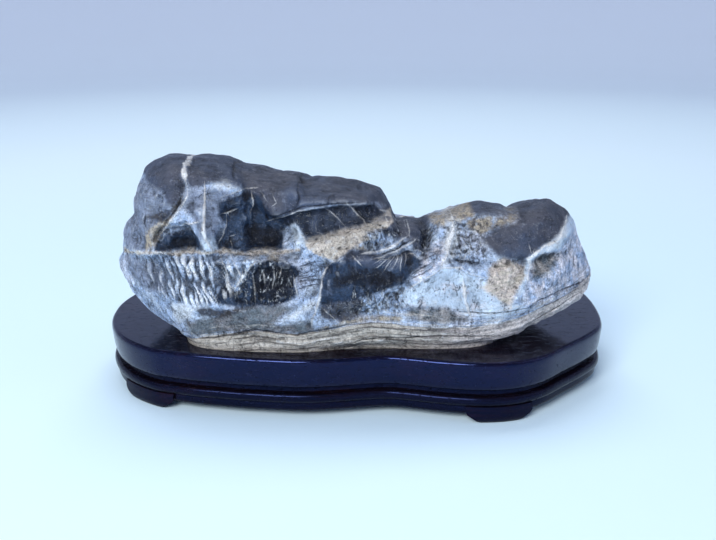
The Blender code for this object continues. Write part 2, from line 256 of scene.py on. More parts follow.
def steppedBoard(name, loops):  # extrudes the first loop's face up through the others
    bm = bmesh.new()
    station = bm.verts.layers.int.new("station")
    points, height = loops[0]
    corners = [bm.verts.new((x * mm, y * mm, height * mm)) for x, y in points]
    for number, corner in enumerate(corners):
        corner[station] = number
    bottom = bm.faces.new(corners)
    face = bottom
    for points, height in loops[1:]:
        made = bmesh.ops.extrude_face_region(bm, geom=[face], use_keep_orig=True)["geom"]
        if face is not bottom:
            bmesh.ops.delete(bm, geom=[face], context="FACES_ONLY")
        face = next(item for item in made if isinstance(item, bmesh.types.BMFace))
        for corner in face.verts:
            x, y = points[corner[station]]
            corner.co = (x * mm, y * mm, height * mm)
    bmesh.ops.recalc_face_normals(bm, faces=bm.faces)
    return newPiece(name, meshFrom(bm, name))


def settle(piece):  # the piece's mesh with its modifiers applied
    graph = bpy.context.evaluated_depsgraph_get()
    mesh = bpy.data.meshes.new_from_object(piece.evaluated_get(graph))
    piece.modifiers.clear()
    piece.data = mesh
    return mesh


def cutOut(piece, cutter):
    cut = piece.modifiers.new("cut", "BOOLEAN")
    cut.operation = "DIFFERENCE"
    cut.solver = "EXACT"
    cut.object = cutter
    settle(piece)
    bpy.data.objects.remove(cutter)


def remesh(piece, size):
    fuse = piece.modifiers.new("fuse", "REMESH")
    fuse.mode = "VOXEL"
    fuse.voxel_size = size * mm


def wear(piece, rounds, factor=0.5):
    smooth = piece.modifiers.new("wear", "SMOOTH")
    smooth.iterations = rounds
    smooth.factor = factor


def readPoints(mesh, kind="co"):
    values = np.empty(len(mesh.vertices) * 3, np.float32)
    mesh.vertices.foreach_get(kind, values)
    return values.reshape(-1, 3).astype(float) / (mm if kind == "co" else 1)


def writePoints(mesh, points):
    mesh.vertices.foreach_set("co", (points * mm).astype(np.float32).ravel())
    mesh.update()


def keepMark(mesh, name, values):
    made = mesh.attributes.new(name, "FLOAT", "POINT")
    made.data.foreach_set("value", values.astype(np.float32))


# The rock

rock = {
    "foot": [
        (-85, -46), (-66, -52.4), (-30, -54.4), (-4, -49.6), (23, -49.4), (46, -49.8), (66, -45.6), (79, -32),
        (86, -8), (80, 22), (58, 38), (20, 42), (-30, 44), (-70, 41), (-91, 24), (-96, -6), (-93, -32),
    ],
    "footHeights": (30.5, 44),
    "fuseSize": 1.3,  # grid that the masses are fused on
    "skinSize": 1.58,  # grid of the finished skin, halved on the side that is seen
    "frontFacing": -0.15, "frontFrom": 36,  # that side by its normal's Y, and from which height
    "wearRounds": 3,
    "putBack": 0.25,  # what the wear takes off
    "skinLumps": [(21, 1.2), (8, 0.5)],  # their size and height, as in the solid
    "skinCrags": [(15, 0.8), (6.5, 0.5)],  # the same for sharper ones
    "skinGrit": [(3.4, 0.2), (2.2, 0.12)],
    "bedLumps": 0.75, "brokenCrags": (3.4, 1.1), "creamCrags": (4.0, 0.7), "faceCrags": (4.5, 0.6),
    "veinHeight": (0.1, 0.3),  # the least, and what each millimetre of half its width adds
    "backShare": 0.55,  # of the front's relief, on the face that isn't seen
    "turning": (-4, 44),  # the marks on the face bend with depth, from here to here
    "sway": (26, 19, 0.6),  # how far sideways at the back, and the wave that it follows up the stone
    "lift": (6, 31, 1.0),  # how far up or down, and its wave along the stone
    "fading": (7, 4, 40),  # how much the zones shrink, and from which depth to which
    "crests": {"crest": (2, 2.2), "swell": (24, 7.0)},  # rounds of averaging, and the gain
}

rockMasses = {  # each is the hull of the corners where its faces meet
    "lower left": [
        (-133, -10, 69), (-132, -8, 73), (-128, -14, 78), (-130, -16, 65), (-124, -20, 55),
        (-112, -30, 48), (-97, -40, 41), (-88, -46, 37), (-114, -36, 77), (-108, -42, 67),
        (-85, -50, 82), (-80, -57, 62), (-54, -53, 85), (-54, -59, 56), (-19, -54, 83), (-14, -59, 52),
        (12, -57, 50), (10, -52, 38), (-30, -56, 38), (-128, 12, 70), (-120, 30, 66), (-118, 26, 80),
        (-100, 42, 74), (-60, 50, 78), (0, 52, 74), (20, 49, 58), (-88, 44, 44), (-40, 49, 42),
        (0, 47, 40), (-114, 16, 48), (-98, 0, 38),
    ],
    "lower right": [
        (132, -8, 58), (131, -4, 66), (126, -6, 77), (128, -14, 54), (122, -20, 50), (111, -28, 48),
        (95, -39, 42), (86, -43, 39), (74, -47, 37), (107, -36, 77), (95, -47, 60), (73, -52, 75),
        (73, -55, 55), (47, -54, 79), (43, -56, 50), (22, -55, 76), (12, -57, 48), (119, -14, 87),
        (99, -34, 83), (63, -48, 81), (37, -49, 86), (-8, -52, 39), (-12, -57, 50), (50, -51, 38),
        (127, 14, 64), (119, 28, 60), (116, 20, 80), (98, 38, 74), (60, 46, 78), (10, 50, 78),
        (10, 47, 42), (60, 43, 40), (98, 30, 46), (114, 12, 50), (0, -20, 82), (0, 30, 82),
        (0, -50, 60),
    ],
    "left pillar": [
        (-121, -10, 98), (-122, -9, 103), (-120, -9, 108), (-117, -9, 115), (-116, -9, 120),
        (-114, -9, 123), (-107, -9, 127), (-100, -9, 129), (-94, -9, 130), (-90, -9, 129),
        (-107, -30, 121), (-95, -36, 126), (-87, -36, 126), (-112, -34, 108), (-109, -42, 91),
        (-100, -48, 84), (-86, -46, 90), (-86, -42, 110), (-114, 14, 112), (-104, 24, 118),
        (-86, 26, 120), (-110, 30, 88), (-86, 42, 84), (-118, 12, 88),
    ],
    "left shoulder": [
        (-129, -12, 77), (-129, -10, 82), (-129, -10, 88), (-126, -10, 93), (-121, -12, 97),
        (-118, -32, 83), (-115, -32, 96), (-105, -42, 100), (-104, -46, 84), (-120, 14, 92),
        (-118, 22, 76), (-100, 20, 96),
    ],
    "peak": [
        (-89, -9, 128), (-85, -9, 130), (-80, -9, 130), (-74, -9, 130), (-68, -9, 127), (-65, -9, 125),
        (-84, -38, 124), (-72, -42, 120), (-59, -42, 118), (-84, -50, 86), (-72, -51, 86),
        (-55, -50, 86), (-57, -44, 104), (-86, 22, 122), (-66, 24, 120), (-88, 40, 84), (-56, 44, 84),
    ],
    "top middle": [
        (-67, -9, 123.5), (-63, -9, 124), (-57, -9, 122), (-51, -9, 120), (-47, -9, 119),
        (-43, -9, 117), (-62, -36, 117), (-48, -38, 116), (-37, -38, 116), (-66, -44, 90),
        (-34, -44, 90), (-64, 24, 118), (-42, 26, 113), (-60, 44, 84), (-36, 44, 84),
    ],
    "top boss": [
        (-46, -9, 119), (-42, -9, 120), (-37, -9, 120), (-33, -9, 120), (-31, -9, 118), (-29, -9, 115),
        (-42, -40, 116), (-29, -42, 116), (-45, -44, 92), (-24, -44, 92), (-44, 22, 114),
        (-28, 22, 112), (-42, 42, 84), (-24, 42, 84),
    ],
    "top right": [
        (-31, -9, 115), (-25, -9, 116), (-20, -9, 117), (-15, -9, 116), (-6, -9, 115), (2, -9, 115),
        (8, -9, 113), (13, -9, 111), (15, -9, 105), (17, -9, 100), (20, -10, 95), (20, -12, 93),
        (-29, -43, 112), (-19, -43, 113), (-6, -41, 112), (7, -34, 109), (-29, -46, 92), (-14, -48, 92),
        (2, -44, 94), (16, -30, 95), (-28, 24, 110), (2, 22, 106), (-26, 42, 82), (10, 38, 84),
        (12, 10, 104),
    ],
    "waist": [
        (-122, -20, 80), (-112, -38, 80), (-84, -47, 80), (-30, -48, 80), (-121, -16, 95),
        (-108, -38, 95), (-84, -45, 99), (-28, -44, 99), (-114, 15, 80), (-108, 12, 94), (-98, 30, 80),
        (-28, 40, 80), (-28, 32, 98),
    ],
    "dark boss": [
        (-19, -57, 62), (-14, -58, 74), (-8, -57, 85), (10, -55, 87), (24, -53, 85), (27, -54, 74),
        (12, -58, 62), (-16, -56, 54), (-10, 0, 82), (24, 0, 84), (0, -20, 56),
    ],
    "terrace": [
        (-32, -46, 90), (-22, -50, 92), (-8, -49, 95), (6, -47, 98), (19, -38, 102), (-26, -53, 80),
        (0, -54, 80), (24, -51, 84), (-30, 0, 80), (-26, -10, 96), (18, -10, 98), (24, 0, 80),
    ],
    "saddle": [
        (17, -10, 92), (21, -10, 93), (26, -10, 93), (31, -10, 93), (36, -10, 91), (18, -34, 95),
        (26, -38, 96), (33, -36, 94), (12, -47, 86), (32, -48, 86), (16, 24, 88), (36, 24, 86),
        (30, 44, 78),
    ],
    "right ridge": [
        (35, -9, 95), (42, -9, 97), (49, -9, 99), (62, -9, 103), (67, -9, 104), (73, -9, 103),
        (79, -9, 102), (85, -12, 99), (43, -34, 98), (65, -31, 103), (78, -31, 102), (38, -46, 84),
        (63, -49, 82), (85, -45, 82), (40, 24, 88), (80, 24, 92), (40, 44, 78), (84, 40, 76),
    ],
    "right cap": [
        (84, -9, 99), (89, -9, 101), (95, -9, 103), (100, -9, 105), (104, -9, 106), (106, -9, 105),
        (110, -9, 103), (114, -9, 100), (119, -9, 94), (121, -10, 86), (125, -10, 78), (85, -36, 99),
        (101, -28, 101), (112, -26, 92), (106, -37, 84), (87, -45, 82), (88, 22, 94), (112, 16, 88),
        (88, 38, 76), (118, 20, 74),
    ],
    "right neck": [
        (74, -12, 101), (84, -12, 100.5), (94, -12, 102), (74, -31, 101), (84, -35, 99), (95, -33, 99),
        (74, -45, 86), (96, -42, 84), (76, 22, 90), (94, 22, 90),
    ],
}

# Hollows in the front face: outline as X and Z, how deep, and how wide the run into them is
rockHollows = [
    ([(-101, 97), (-95, 99), (-86, 100), (-81, 94), (-80, 87), (-92, 86), (-104, 87),
      (-105, 92)], 6, 4),
    ([(-96, 91.5), (-85, 91.5), (-82, 87), (-96, 86.5)], 3, 4),
    ([(-66, 108), (-56, 109), (-48, 106), (-44, 102), (-34, 99), (-30, 94), (-36, 88), (-54, 86.5),
      (-72, 86.5), (-72, 93), (-69, 100), (-70, 105)], 4, 5),
    ([(-66, 116), (-57, 118.5), (-50, 113), (-46, 104), (-40, 97), (-40, 88), (-72, 87), (-69, 100),
      (-71, 108)], 2.5, 9),
    ([(-58, 99), (-46, 99), (-38, 93), (-40, 87), (-56, 87)], 4, 3),
    ([(-46, 101), (-30, 106), (-8, 109), (8, 107), (14, 102), (4, 99), (-10, 96), (-24, 93),
      (-36, 91)], 5, 2),
    ([(30, 60), (38, 72), (48, 77), (62, 72), (66, 60), (50, 54)], 1.6, 5),
    ([(-24, 87), (-15, 84), (-11, 80), (-17, 74), (-21, 66), (-30, 70), (-33, 80)], 2.4, 4),
    ([(84, 82), (88, 79), (103, 84), (114, 90), (118, 80), (108, 76), (92, 72), (84, 74)], 2.4, 4),
    ([(-52, 79), (-46, 82), (-41, 84), (-34, 76), (-33, 65), (-50, 63)], 1.5, 3),
    ([(-66, 68), (-56, 72), (-52, 66), (-54, 62), (-67, 62)], 1.0, 2),
]

# Ridges and bosses that stand out of it, in the same way
rockRises = [
    ([(-88, 108), (-78, 110), (-76, 98), (-77, 86), (-82, 86), (-85, 98)], 2.0, 3),
    ([(-124, 86), (-100, 84), (-60, 84), (-34, 85), (-34, 80), (-70, 79), (-110, 79),
      (-126, 80)], 2.2, 2),
    ([(-28, 88), (-16, 94), (4, 97), (17, 102), (18, 98), (6, 92), (-8, 83), (-26, 82)], 2.4, 3),
    ([(-12, 86), (10, 88), (22, 84), (24, 72), (8, 62), (-14, 57), (-21, 60), (-17, 74)], 2.2, 3),
    ([(-88, 40), (-60, 43), (-20, 41), (20, 46), (60, 44), (92, 50), (86, 42), (40, 36),
      (-84, 35)], 1.6, 3),
    ([(-127, 79), (-107, 87), (-93, 86), (-78, 89), (-60, 88), (-46, 88), (-29, 90), (-29, 87.5),
      (-46, 85.5), (-60, 85.5), (-78, 86.5), (-93, 83.5), (-107, 84.5), (-127, 76)], 0.7, 1.4),
    ([(-19, 66), (-20, 56), (-22, 47), (-25, 53), (-36, 53), (-29, 61), (-26, 65)], 0.7, 2),
    ([(66, 90), (77, 97), (90, 99), (106, 90), (98, 86), (88, 80), (71, 82)], 0.8, 2),
    ([(7, 94), (9, 97), (14, 95.5), (14, 91.8), (13, 88.4), (8, 89.3)], 1.2, 1.6),
    ([(-14, 88), (-11, 91), (-7, 90.3), (-5, 88), (-8, 86)], 1.0, 1.6),
    ([(-4, 90), (-1, 92), (3, 91), (6, 88), (0, 88)], 1.2, 1.6),
    ([(-45, 83), (-43, 86.3), (-39, 85), (-40, 82)], 1.2, 1.6),
    ([(-58, 83), (-56, 85.8), (-52, 85), (-53, 82)], 1.2, 1.6),
    ([(-104, 86), (-103, 89.5), (-99, 90.5), (-97, 86)], 1.6, 2.8),
]

# Rounded ridges down the face: height, half the width, and line
rockRidges = [
    (3.0, 5, [(-80, 114), (-78, 106), (-76, 98), (-76, 91), (-75, 87)]),
    (2.2, 3, [(-105, 88), (-100, 91), (-95, 93)]),
    (2.4, 2.4, [(-54, 116), (-54, 108), (-56, 100)]),
    (1.8, 1.8, [(-48, 115), (-47, 107), (-49, 101)]),
    (1.4, 1.6, [(-63, 114), (-64, 106)]),
    (2.6, 3.5, [(-31, 106), (-30, 98), (-27, 91)]),
    (1.6, 1.2, [(-6, 109), (-1, 103), (5, 99)]),
    (1.6, 1.2, [(-18, 107), (-12, 101), (-7, 97)]),
    (1.8, 3.5, [(50, 101), (49, 94), (46, 88), (42, 82), (33, 76)]),
    (1.6, 3.0, [(40, 98), (40, 90), (36, 82)]),
    (1.4, 4, [(-113, 98), (-112, 90)]),
    (1.2, 1.6, [(20, 64), (29, 71), (37, 77), (45, 80), (52, 80), (60, 76)]),
    (1.8, 2.6, [(121, 91), (112, 90), (104, 88), (95, 83), (88, 77), (84, 68), (80, 60)]),
    (1.6, 1.3, [(-4, 87), (-10, 83), (-15, 77), (-18, 70), (-20, 60), (-22, 50)]),
    (1.6, 1.3, [(4, 87.5), (12, 88.2), (20, 90), (27, 93.5)]),
    (1.2, 1.2, [(9, 85.8), (17, 86.8), (25, 88.6), (30, 91.5)]),
    (1.2, 1.8, [(13, 99), (19, 97), (22, 94)]),
    (1.2, 2.5, [(54, 76), (55, 65), (54, 55)]),
    (1.2, 5, [(-46, 118), (-44, 109), (-38, 104)]),
    (1.0, 6, [(-22, 117), (-18, 112), (-20, 108)]),
    (1.0, 4, [(-30, 110), (-12, 112), (6, 110)]),
    (1.0, 4, [(85, 101), (93, 98.5), (103, 97.5), (110, 95)]),
]

rockCleft = {"line": [(-88, 132), (-88, 121), (-90, 112), (-94, 105), (-99, 99)], "deep": 2.0, "wide": 2.6}

# Ribs with narrow grooves between them, worn into the lower left face
rockRibs = {
    "field": [(-114, 79), (-104, 83), (-92, 84), (-68, 84.5), (-61, 80), (-62, 73), (-64, 67), (-70, 62),
              (-82, 59), (-96, 60), (-110, 65)],
    "wide": 3.0, "long": 17, "lean": 0.36, "deep": 1.0,
    "wander": [(0.7, 3.1, 5), (0.4, 1.3, 3)],  # how far, and the waves up and along the face
}

# The bedding at the foot follows this line along the rock
rockBedding = [
    (-96, 36), (-88, 38), (-79, 41), (-65, 44), (-51, 45.5), (-40, 45), (-28, 45), (-18, 47), (-7, 49),
    (4, 51), (14, 51), (22, 50), (36, 48.5), (56, 47.5), (69, 49), (85, 51), (100, 54), (115, 57), (132, 62),
]

# Zones of colour on the face, as X and Z
rockZones = {
    "dusk": [
        [(-132, 86), (-126, 100), (-122, 114), (-108, 120), (-98, 117), (-92, 109), (-98, 100),
         (-106, 90), (-108, 85), (-122, 80)],
        [(-86, 116), (-77, 118), (-68, 119), (-62, 114), (-68, 106), (-70, 94), (-80, 94), (-82, 102),
         (-88, 108)],
        [(-126, 76), (-104, 79), (-99, 64), (-112, 61), (-122, 66)],
    ],
    "slate": [
        [(-115, 120), (-121, 126), (-112, 135), (-102, 140), (-90, 140), (-89, 127), (-88, 120),
         (-87, 116), (-90, 113), (-94, 108), (-97, 111), (-99, 116), (-104, 117), (-109, 119)],
        [(-90, 140), (-74, 140), (-56, 133), (-36, 130), (-24, 126), (8, 124), (22, 118), (25, 102),
         (18, 101), (9, 107), (1, 109), (-14, 109), (-24, 108), (-33, 105), (-45, 101), (-50, 105),
         (-53, 110), (-57, 114), (-60, 118), (-68, 120), (-73, 121), (-79, 119), (-84, 118),
         (-87, 122)],
        [(12, 97.5), (17, 106), (25, 105), (33, 102), (39, 97), (38, 88), (34, 85), (30, 86), (27, 91),
         (20, 92), (16, 95)],
        [(-15, 79), (-13, 83), (-8, 85.3), (-6, 87.9), (-3, 90), (2, 89.3), (6, 88.1), (14, 87),
         (23, 86.5), (32, 86), (29, 83), (23, 80), (14, 79), (4, 80), (-4, 82), (-11, 82)],
        [(59, 106), (64, 114), (80, 115), (90, 106), (85, 100.5), (78, 100.5), (72, 101), (66, 101.5),
         (62, 101)],
        [(64, 91), (68, 88), (72, 84), (81, 81), (86, 80), (91, 84), (96, 86.5), (103, 89.5), (109, 92),
         (111, 95), (116, 97), (122, 101), (114, 111), (104, 116), (92, 113), (86, 106), (85, 100),
         (82, 98.5), (76, 97), (70, 95)],
    ],
    # painted shade under the upper block's brow, in the hollow beneath it
    "underShade": [
        [(-40, 101), (-29, 107), (-16, 109), (1, 109), (9, 107), (14, 103), (17, 101), (8, 99.3),
         (-3, 97.4), (-15, 94.8), (-21, 93.1), (-26, 92.2), (-31, 99)],
    ],
    # the first two outlines are painted shade in the two niches; the others are the stone's own dark boss and
    # patch
    "night": [
        [(-104, 86.2), (-103, 89.5), (-98, 93.5), (-90, 95.5), (-83, 95.5), (-79, 92.5), (-77, 88.6),
         (-94, 85.9)],
        [(-72, 91), (-67, 99), (-70, 105.6), (-70, 110.6), (-65, 113), (-56, 115), (-50, 113),
         (-47, 108), (-44, 103), (-38, 103), (-31, 104), (-32, 100), (-39, 94.6), (-38, 86.8),
         (-57, 86), (-69, 87.5)],
        [(-15, 80), (-11, 84.5), (-5, 86), (0, 84), (6, 81), (12, 82), (17, 79), (23, 81), (29, 84),
         (33, 83.4), (32, 80.1), (28, 77.3), (25, 73.6), (23, 71.2), (14, 69.5), (7, 67.5), (1, 66),
         (-6, 64), (-14, 63), (-19, 62), (-18, 73)],
        [(-72, 62), (-69, 69.9), (-65, 72.1), (-62, 67.1), (-58, 70.1), (-56, 76.7), (-53, 80.8),
         (-50, 83), (-44, 83.7), (-36, 83.5), (-32, 80.8), (-29, 77), (-33, 72), (-30, 68), (-34, 63.5),
         (-43, 61), (-51, 61), (-56, 60.5), (-63, 60)],
    ],
    # near black: the first two outlines are painted shade deep in the niches; the others are the darkest
    # stone of the patch and the boss
    "core": [
        [(-94, 90.6), (-84, 91.4), (-83, 87.3), (-93, 85.9)],
        [(-56, 95.5), (-53, 97), (-48, 96.2), (-39, 94.6), (-40, 88), (-44, 87), (-56, 87),
         (-57, 92.4)],
        [(-51, 78), (-47, 80), (-43, 82), (-36, 82), (-33, 78), (-33, 67), (-43, 64.5), (-51, 65)],
        [(-12, 76), (-3, 79), (5, 78), (14, 77), (24, 77), (24, 73), (14, 71), (3, 72), (-3, 73.5),
         (-12, 70)],
    ],
    "ice": [
        [(23, 59), (25, 68.5), (34, 73.7), (43, 80), (51, 78.3), (59, 75), (65, 74.4), (71, 65),
         (79, 61), (88, 56), (74, 52), (58, 53.7), (46, 58.8), (30, 59.4)],
        [(-79, 116), (-75, 116), (-75, 104), (-74, 96), (-72, 89), (-78, 88), (-79, 97), (-79, 104)],
        [(-35, 99), (-32, 101.6), (-29, 95.7), (-26, 91.8), (-31, 88.5), (-33, 93)],
        [(111, 96), (118, 99), (121, 97), (123, 90), (118, 87), (108, 84), (101, 83), (95, 82),
         (90, 77), (86, 65), (83, 65), (86, 77), (91, 84), (96, 87), (103, 90), (109, 93)],
    ],
    "milk": [
        [(-38, 53.5), (-31, 57.2), (-27, 61.4), (-22, 63.9), (-20, 63), (-22, 59.7), (-26, 58),
         (-32, 55.5)],
        [(-97, 57), (-90, 59), (-82, 58.5), (-85, 54), (-84, 52), (-90, 50), (-94, 47), (-97, 51)],
        [(47, 99), (53.5, 99), (53, 95), (52, 90), (49, 83.5), (43, 81), (45, 88), (46, 92),
         (46.5, 96)],
        [(-71, 120), (-68, 121), (-64, 119.6), (-63, 118), (-66, 117)],
        [(97, 87), (101, 87.5), (108, 93), (112, 96), (110, 90), (107, 85), (103, 84), (99, 85)],
    ],
    "cream": [
        [(-26, 92.5), (-21, 93.6), (-15, 95.3), (-3, 97.9), (8, 99.8), (18, 101.5), (19, 100), (11, 98),
         (5, 97), (7, 93.4), (-2, 90.9), (-7, 86.8), (-12, 84), (-21, 86.7), (-26, 89.7)],
        [(-127, 79.5), (-107, 86), (-93, 85.4), (-78, 88), (-67, 87.4), (-57, 86.2), (-38, 86.8),
         (-29, 88.6), (-29, 87.4), (-38, 85.4), (-54, 84.6), (-67, 86), (-78, 86.4), (-93, 83.6),
         (-107, 84.2), (-127, 77)],
    ],
    "tan": [
        [(-110, 86), (-109, 93), (-102, 97.4), (-97, 102), (-92, 109), (-89, 114), (-91, 108),
         (-95, 102), (-100, 96), (-102, 92), (-105, 89), (-106, 86.5)],
        [(58, 99), (63, 101), (70, 101.2), (71, 97), (66, 93.5), (62, 94), (58, 96.4)],
        [(34, 95), (40, 100), (52, 105), (62, 109), (66, 109), (62, 101), (55, 98.6), (45, 97.4)],
        [(-110, 86), (-109, 94), (-104, 99), (-98, 101), (-99, 96), (-103, 91), (-105, 87)],
        [(70, 95.7), (73, 100), (82, 101.5), (87, 101.5), (81, 98), (75, 96.5)],
        [(-45, 85.2), (-43, 86.3), (-40, 85), (-40, 83.6), (-44, 83.1)],
        [(-3, 89.8), (-1, 91.8), (3, 90.9), (6, 88.1), (0, 89.2)],
        [(-20, 47.5), (-6, 50.5), (4, 52), (14, 52), (23, 51), (23, 54), (10, 55), (0, 54), (-8, 53)],
    ],
    "peach": [
        [(67, 78), (71, 81), (76, 83.3), (81, 80.2), (87, 77.4), (86, 71), (81, 63.8), (79, 57.9),
         (71, 64.7), (63, 69), (67, 73)],
    ],
    "brown": [
        [(-19, 59), (-18, 66), (-8, 68), (0, 68), (4, 62), (0, 54), (-8, 52.5), (-17, 54)],
        [(-83, 58), (-76, 59), (-69, 58), (-60, 60), (-52, 60), (-60, 57), (-67, 54), (-76, 53),
         (-82, 54)],
        [(-110, 102.2), (-101, 105), (-96, 106.7), (-91, 112), (-90, 110), (-94, 105), (-100, 100.4),
         (-106, 101.4)],
    ],
    "drab": [
        [(91, 77), (96, 83.8), (104, 81.3), (107, 79), (101, 72.5), (95, 70.5), (91, 71)],
        [(28, 58.4), (46, 58.8), (52, 54.5), (60, 51.5), (40, 50), (25, 54.4)],
    ],
    "moss": [
        [(-90, 50), (-81, 51), (-67, 56), (-54, 63), (-41, 62.5), (-31, 60), (-40, 54.2), (-41, 51),
         (-29, 52), (-23, 53), (-22, 46), (-29, 45), (-41, 46), (-51, 46), (-65, 45), (-79, 42),
         (-88, 39)],
    ],
    "lilac": [
        [(90, 77), (96, 83), (107, 82), (112, 88), (118, 90.4), (128, 84), (136, 70), (136, 58),
         (123, 57), (112, 57), (98, 56), (88, 57), (87, 69)],
        [(27, 73), (33, 83), (38, 88), (45, 90), (46, 84), (40, 79), (34, 74)],
    ],
    "flecked": [
        [(-58, 84), (-40, 85), (-32, 77), (-32, 65), (-41, 62), (-50, 62), (-62, 62), (-62, 70),
         (-60, 78)],
        [(-3, 71.9), (4, 70.2), (14, 69.7), (23, 70.7), (24, 68.5), (23, 59.4), (11, 56.7), (1, 54.9),
         (-3, 59.8)],
        [(2, 91), (4, 97), (12, 100), (20, 98), (24, 94), (16, 91), (8, 88.5)],
        [(52, 98), (64, 98), (66, 92), (66, 83), (63, 80.4), (53, 81.4), (48, 83.2), (51, 89)],
        [(28, 90), (37, 92), (42, 97), (40, 90), (35, 84), (30, 86)],
    ],
}

# Pale veins that stand a little proud: half their width, and their line as X and Z
rockVeins = [
    (2.3, [(-90, 133), (-89, 128), (-88, 124.8), (-86.5, 118)]),
    (0.9, [(-86.5, 120), (-86, 114.8), (-90, 107.4), (-96, 100.4), (-102, 93), (-104, 88.6),
           (-105.5, 84)]),
    (1.1, [(-97, 97.6), (-91, 98.5), (-80, 102.3)]),
    (1.4, [(-77, 120), (-77, 106), (-77, 99), (-76, 93), (-73, 87.5)]),
    (0.5, [(-69, 113.7), (-66, 114.5), (-60, 116.5), (-56, 116.6), (-51, 117.3)]),
    (0.8, [(-69, 105), (-65, 105.5), (-62, 106.9)]),
    (0.5, [(-67, 105), (-67, 99), (-69, 93.5), (-72, 88.5)]),
    (0.5, [(-54, 114.7), (-53, 109.4), (-55, 104.3)]),
    (0.4, [(-48, 114.5), (-46, 111.4)]),
    (0.4, [(-43, 114.8), (-41, 110.5), (-43, 109)]),
    (0.5, [(-65, 93.2), (-62, 94.1)]),
    (0.4, [(-65, 91.3), (-64, 87.8)]),
    (0.7, [(-46, 99.6), (-39, 102.4), (-29, 107.1), (-24, 107)]),
    (0.7, [(-32, 100), (-29, 94.5), (-25, 91.4)]),
    (0.5, [(-17, 108.6), (-12, 104.2), (-5, 96.8)]),
    (0.7, [(-5, 110), (0, 103.6), (5, 98.7)]),
    (0.5, [(12, 103), (16, 100.9)]),
    (0.4, [(-21, 98.7), (-21, 95.5), (-16, 94.1)]),
    (1.0, [(-48, 78.5), (-47, 74.6), (-47, 71)]),
    (1.0, [(-42, 78), (-42, 74), (-43, 70)]),
    (0.8, [(-53, 77), (-52, 70.3), (-52, 63)]),
    (0.6, [(-38, 80.4), (-39, 75.9)]),
    (0.7, [(-32, 75), (-31, 70.3), (-30, 65)]),
    (0.5, [(-44, 83.7), (-44, 80.9)]),
    (1.0, [(-70, 86), (-67, 81.2), (-65, 73)]),
    (1.0, [(-65, 86), (-61, 80.6), (-58, 74)]),
    (1.1, [(-50, 84.5), (-54, 80.8), (-57, 76.3), (-61, 70.7), (-64, 66)]),
    (0.8, [(-68, 76), (-65, 71.4), (-61, 67.5)]),
    (1.0, [(-17, 85), (-15, 80.1), (-18, 73.8), (-18.5, 66.8), (-21, 58), (-23, 53.4), (-23, 47.5)]),
    (0.5, [(-15, 80), (-12, 83.8), (-8, 86)]),
    (0.45, [(-18, 61), (-14, 56.7), (-9, 51.4)]),
    (0.6, [(-45, 38), (-38, 40.1), (-22, 40.9), (-14, 42.5), (-6, 44.6), (4, 45.5)]),
    (0.6, [(-2, 86.6), (0, 85.1), (2, 83)]),
    (0.6, [(17, 85.8), (14, 84.2), (10, 81)]),
    (0.6, [(19, 85.7), (16, 83.1), (14, 79.6)]),
    (0.6, [(21, 85.7), (20, 83.6), (18, 80.4)]),
    (0.6, [(23, 85.5), (22, 82.4), (22, 79)]),
    (0.6, [(25, 85), (25, 82.7), (24, 80.4)]),
    (0.5, [(14, 85.8), (11, 84.9), (9, 83.5)]),
    (0.5, [(26, 84.9), (29, 85.2), (31, 83.8)]),
    (1.2, [(2, 87.3), (12, 88.2), (20, 90), (27, 93.5)]),
    (0.8, [(9, 85.8), (17, 86.8), (25, 88.6), (30, 91.5)]),
    (0.7, [(26, 99), (27, 96), (27, 93)]),
    (2.5, [(50, 100), (50, 95.4), (49, 92.5), (47, 89.7), (46, 85.5), (43, 82)]),
    (0.8, [(22, 61), (25, 68.5), (34, 74), (43, 80.2), (53, 79.4), (58, 76), (65, 74.6)]),
    (0.5, [(49, 79.7), (53, 77.4), (55, 74.1)]),
    (1.6, [(54, 75), (55, 66.7), (56, 60.6), (59, 53)]),
    (1.9, [(113, 97), (109, 93.5), (106, 89.5), (102, 87.8), (96, 86.4), (93, 84.4), (89, 81.2),
           (90, 76.9), (88, 71)]),
    (0.6, [(96, 86.4), (101, 83.4), (107, 80.8), (104, 86.8)]),
    (0.6, [(108, 91), (114, 86.5), (119, 81.5)]),
    (0.4, [(89, 88.5), (90, 84.5)]),
    (0.9, [(24, 47), (43, 48), (56, 48.8), (69, 49.3), (85, 50.5), (100, 53), (112, 56)]),
]

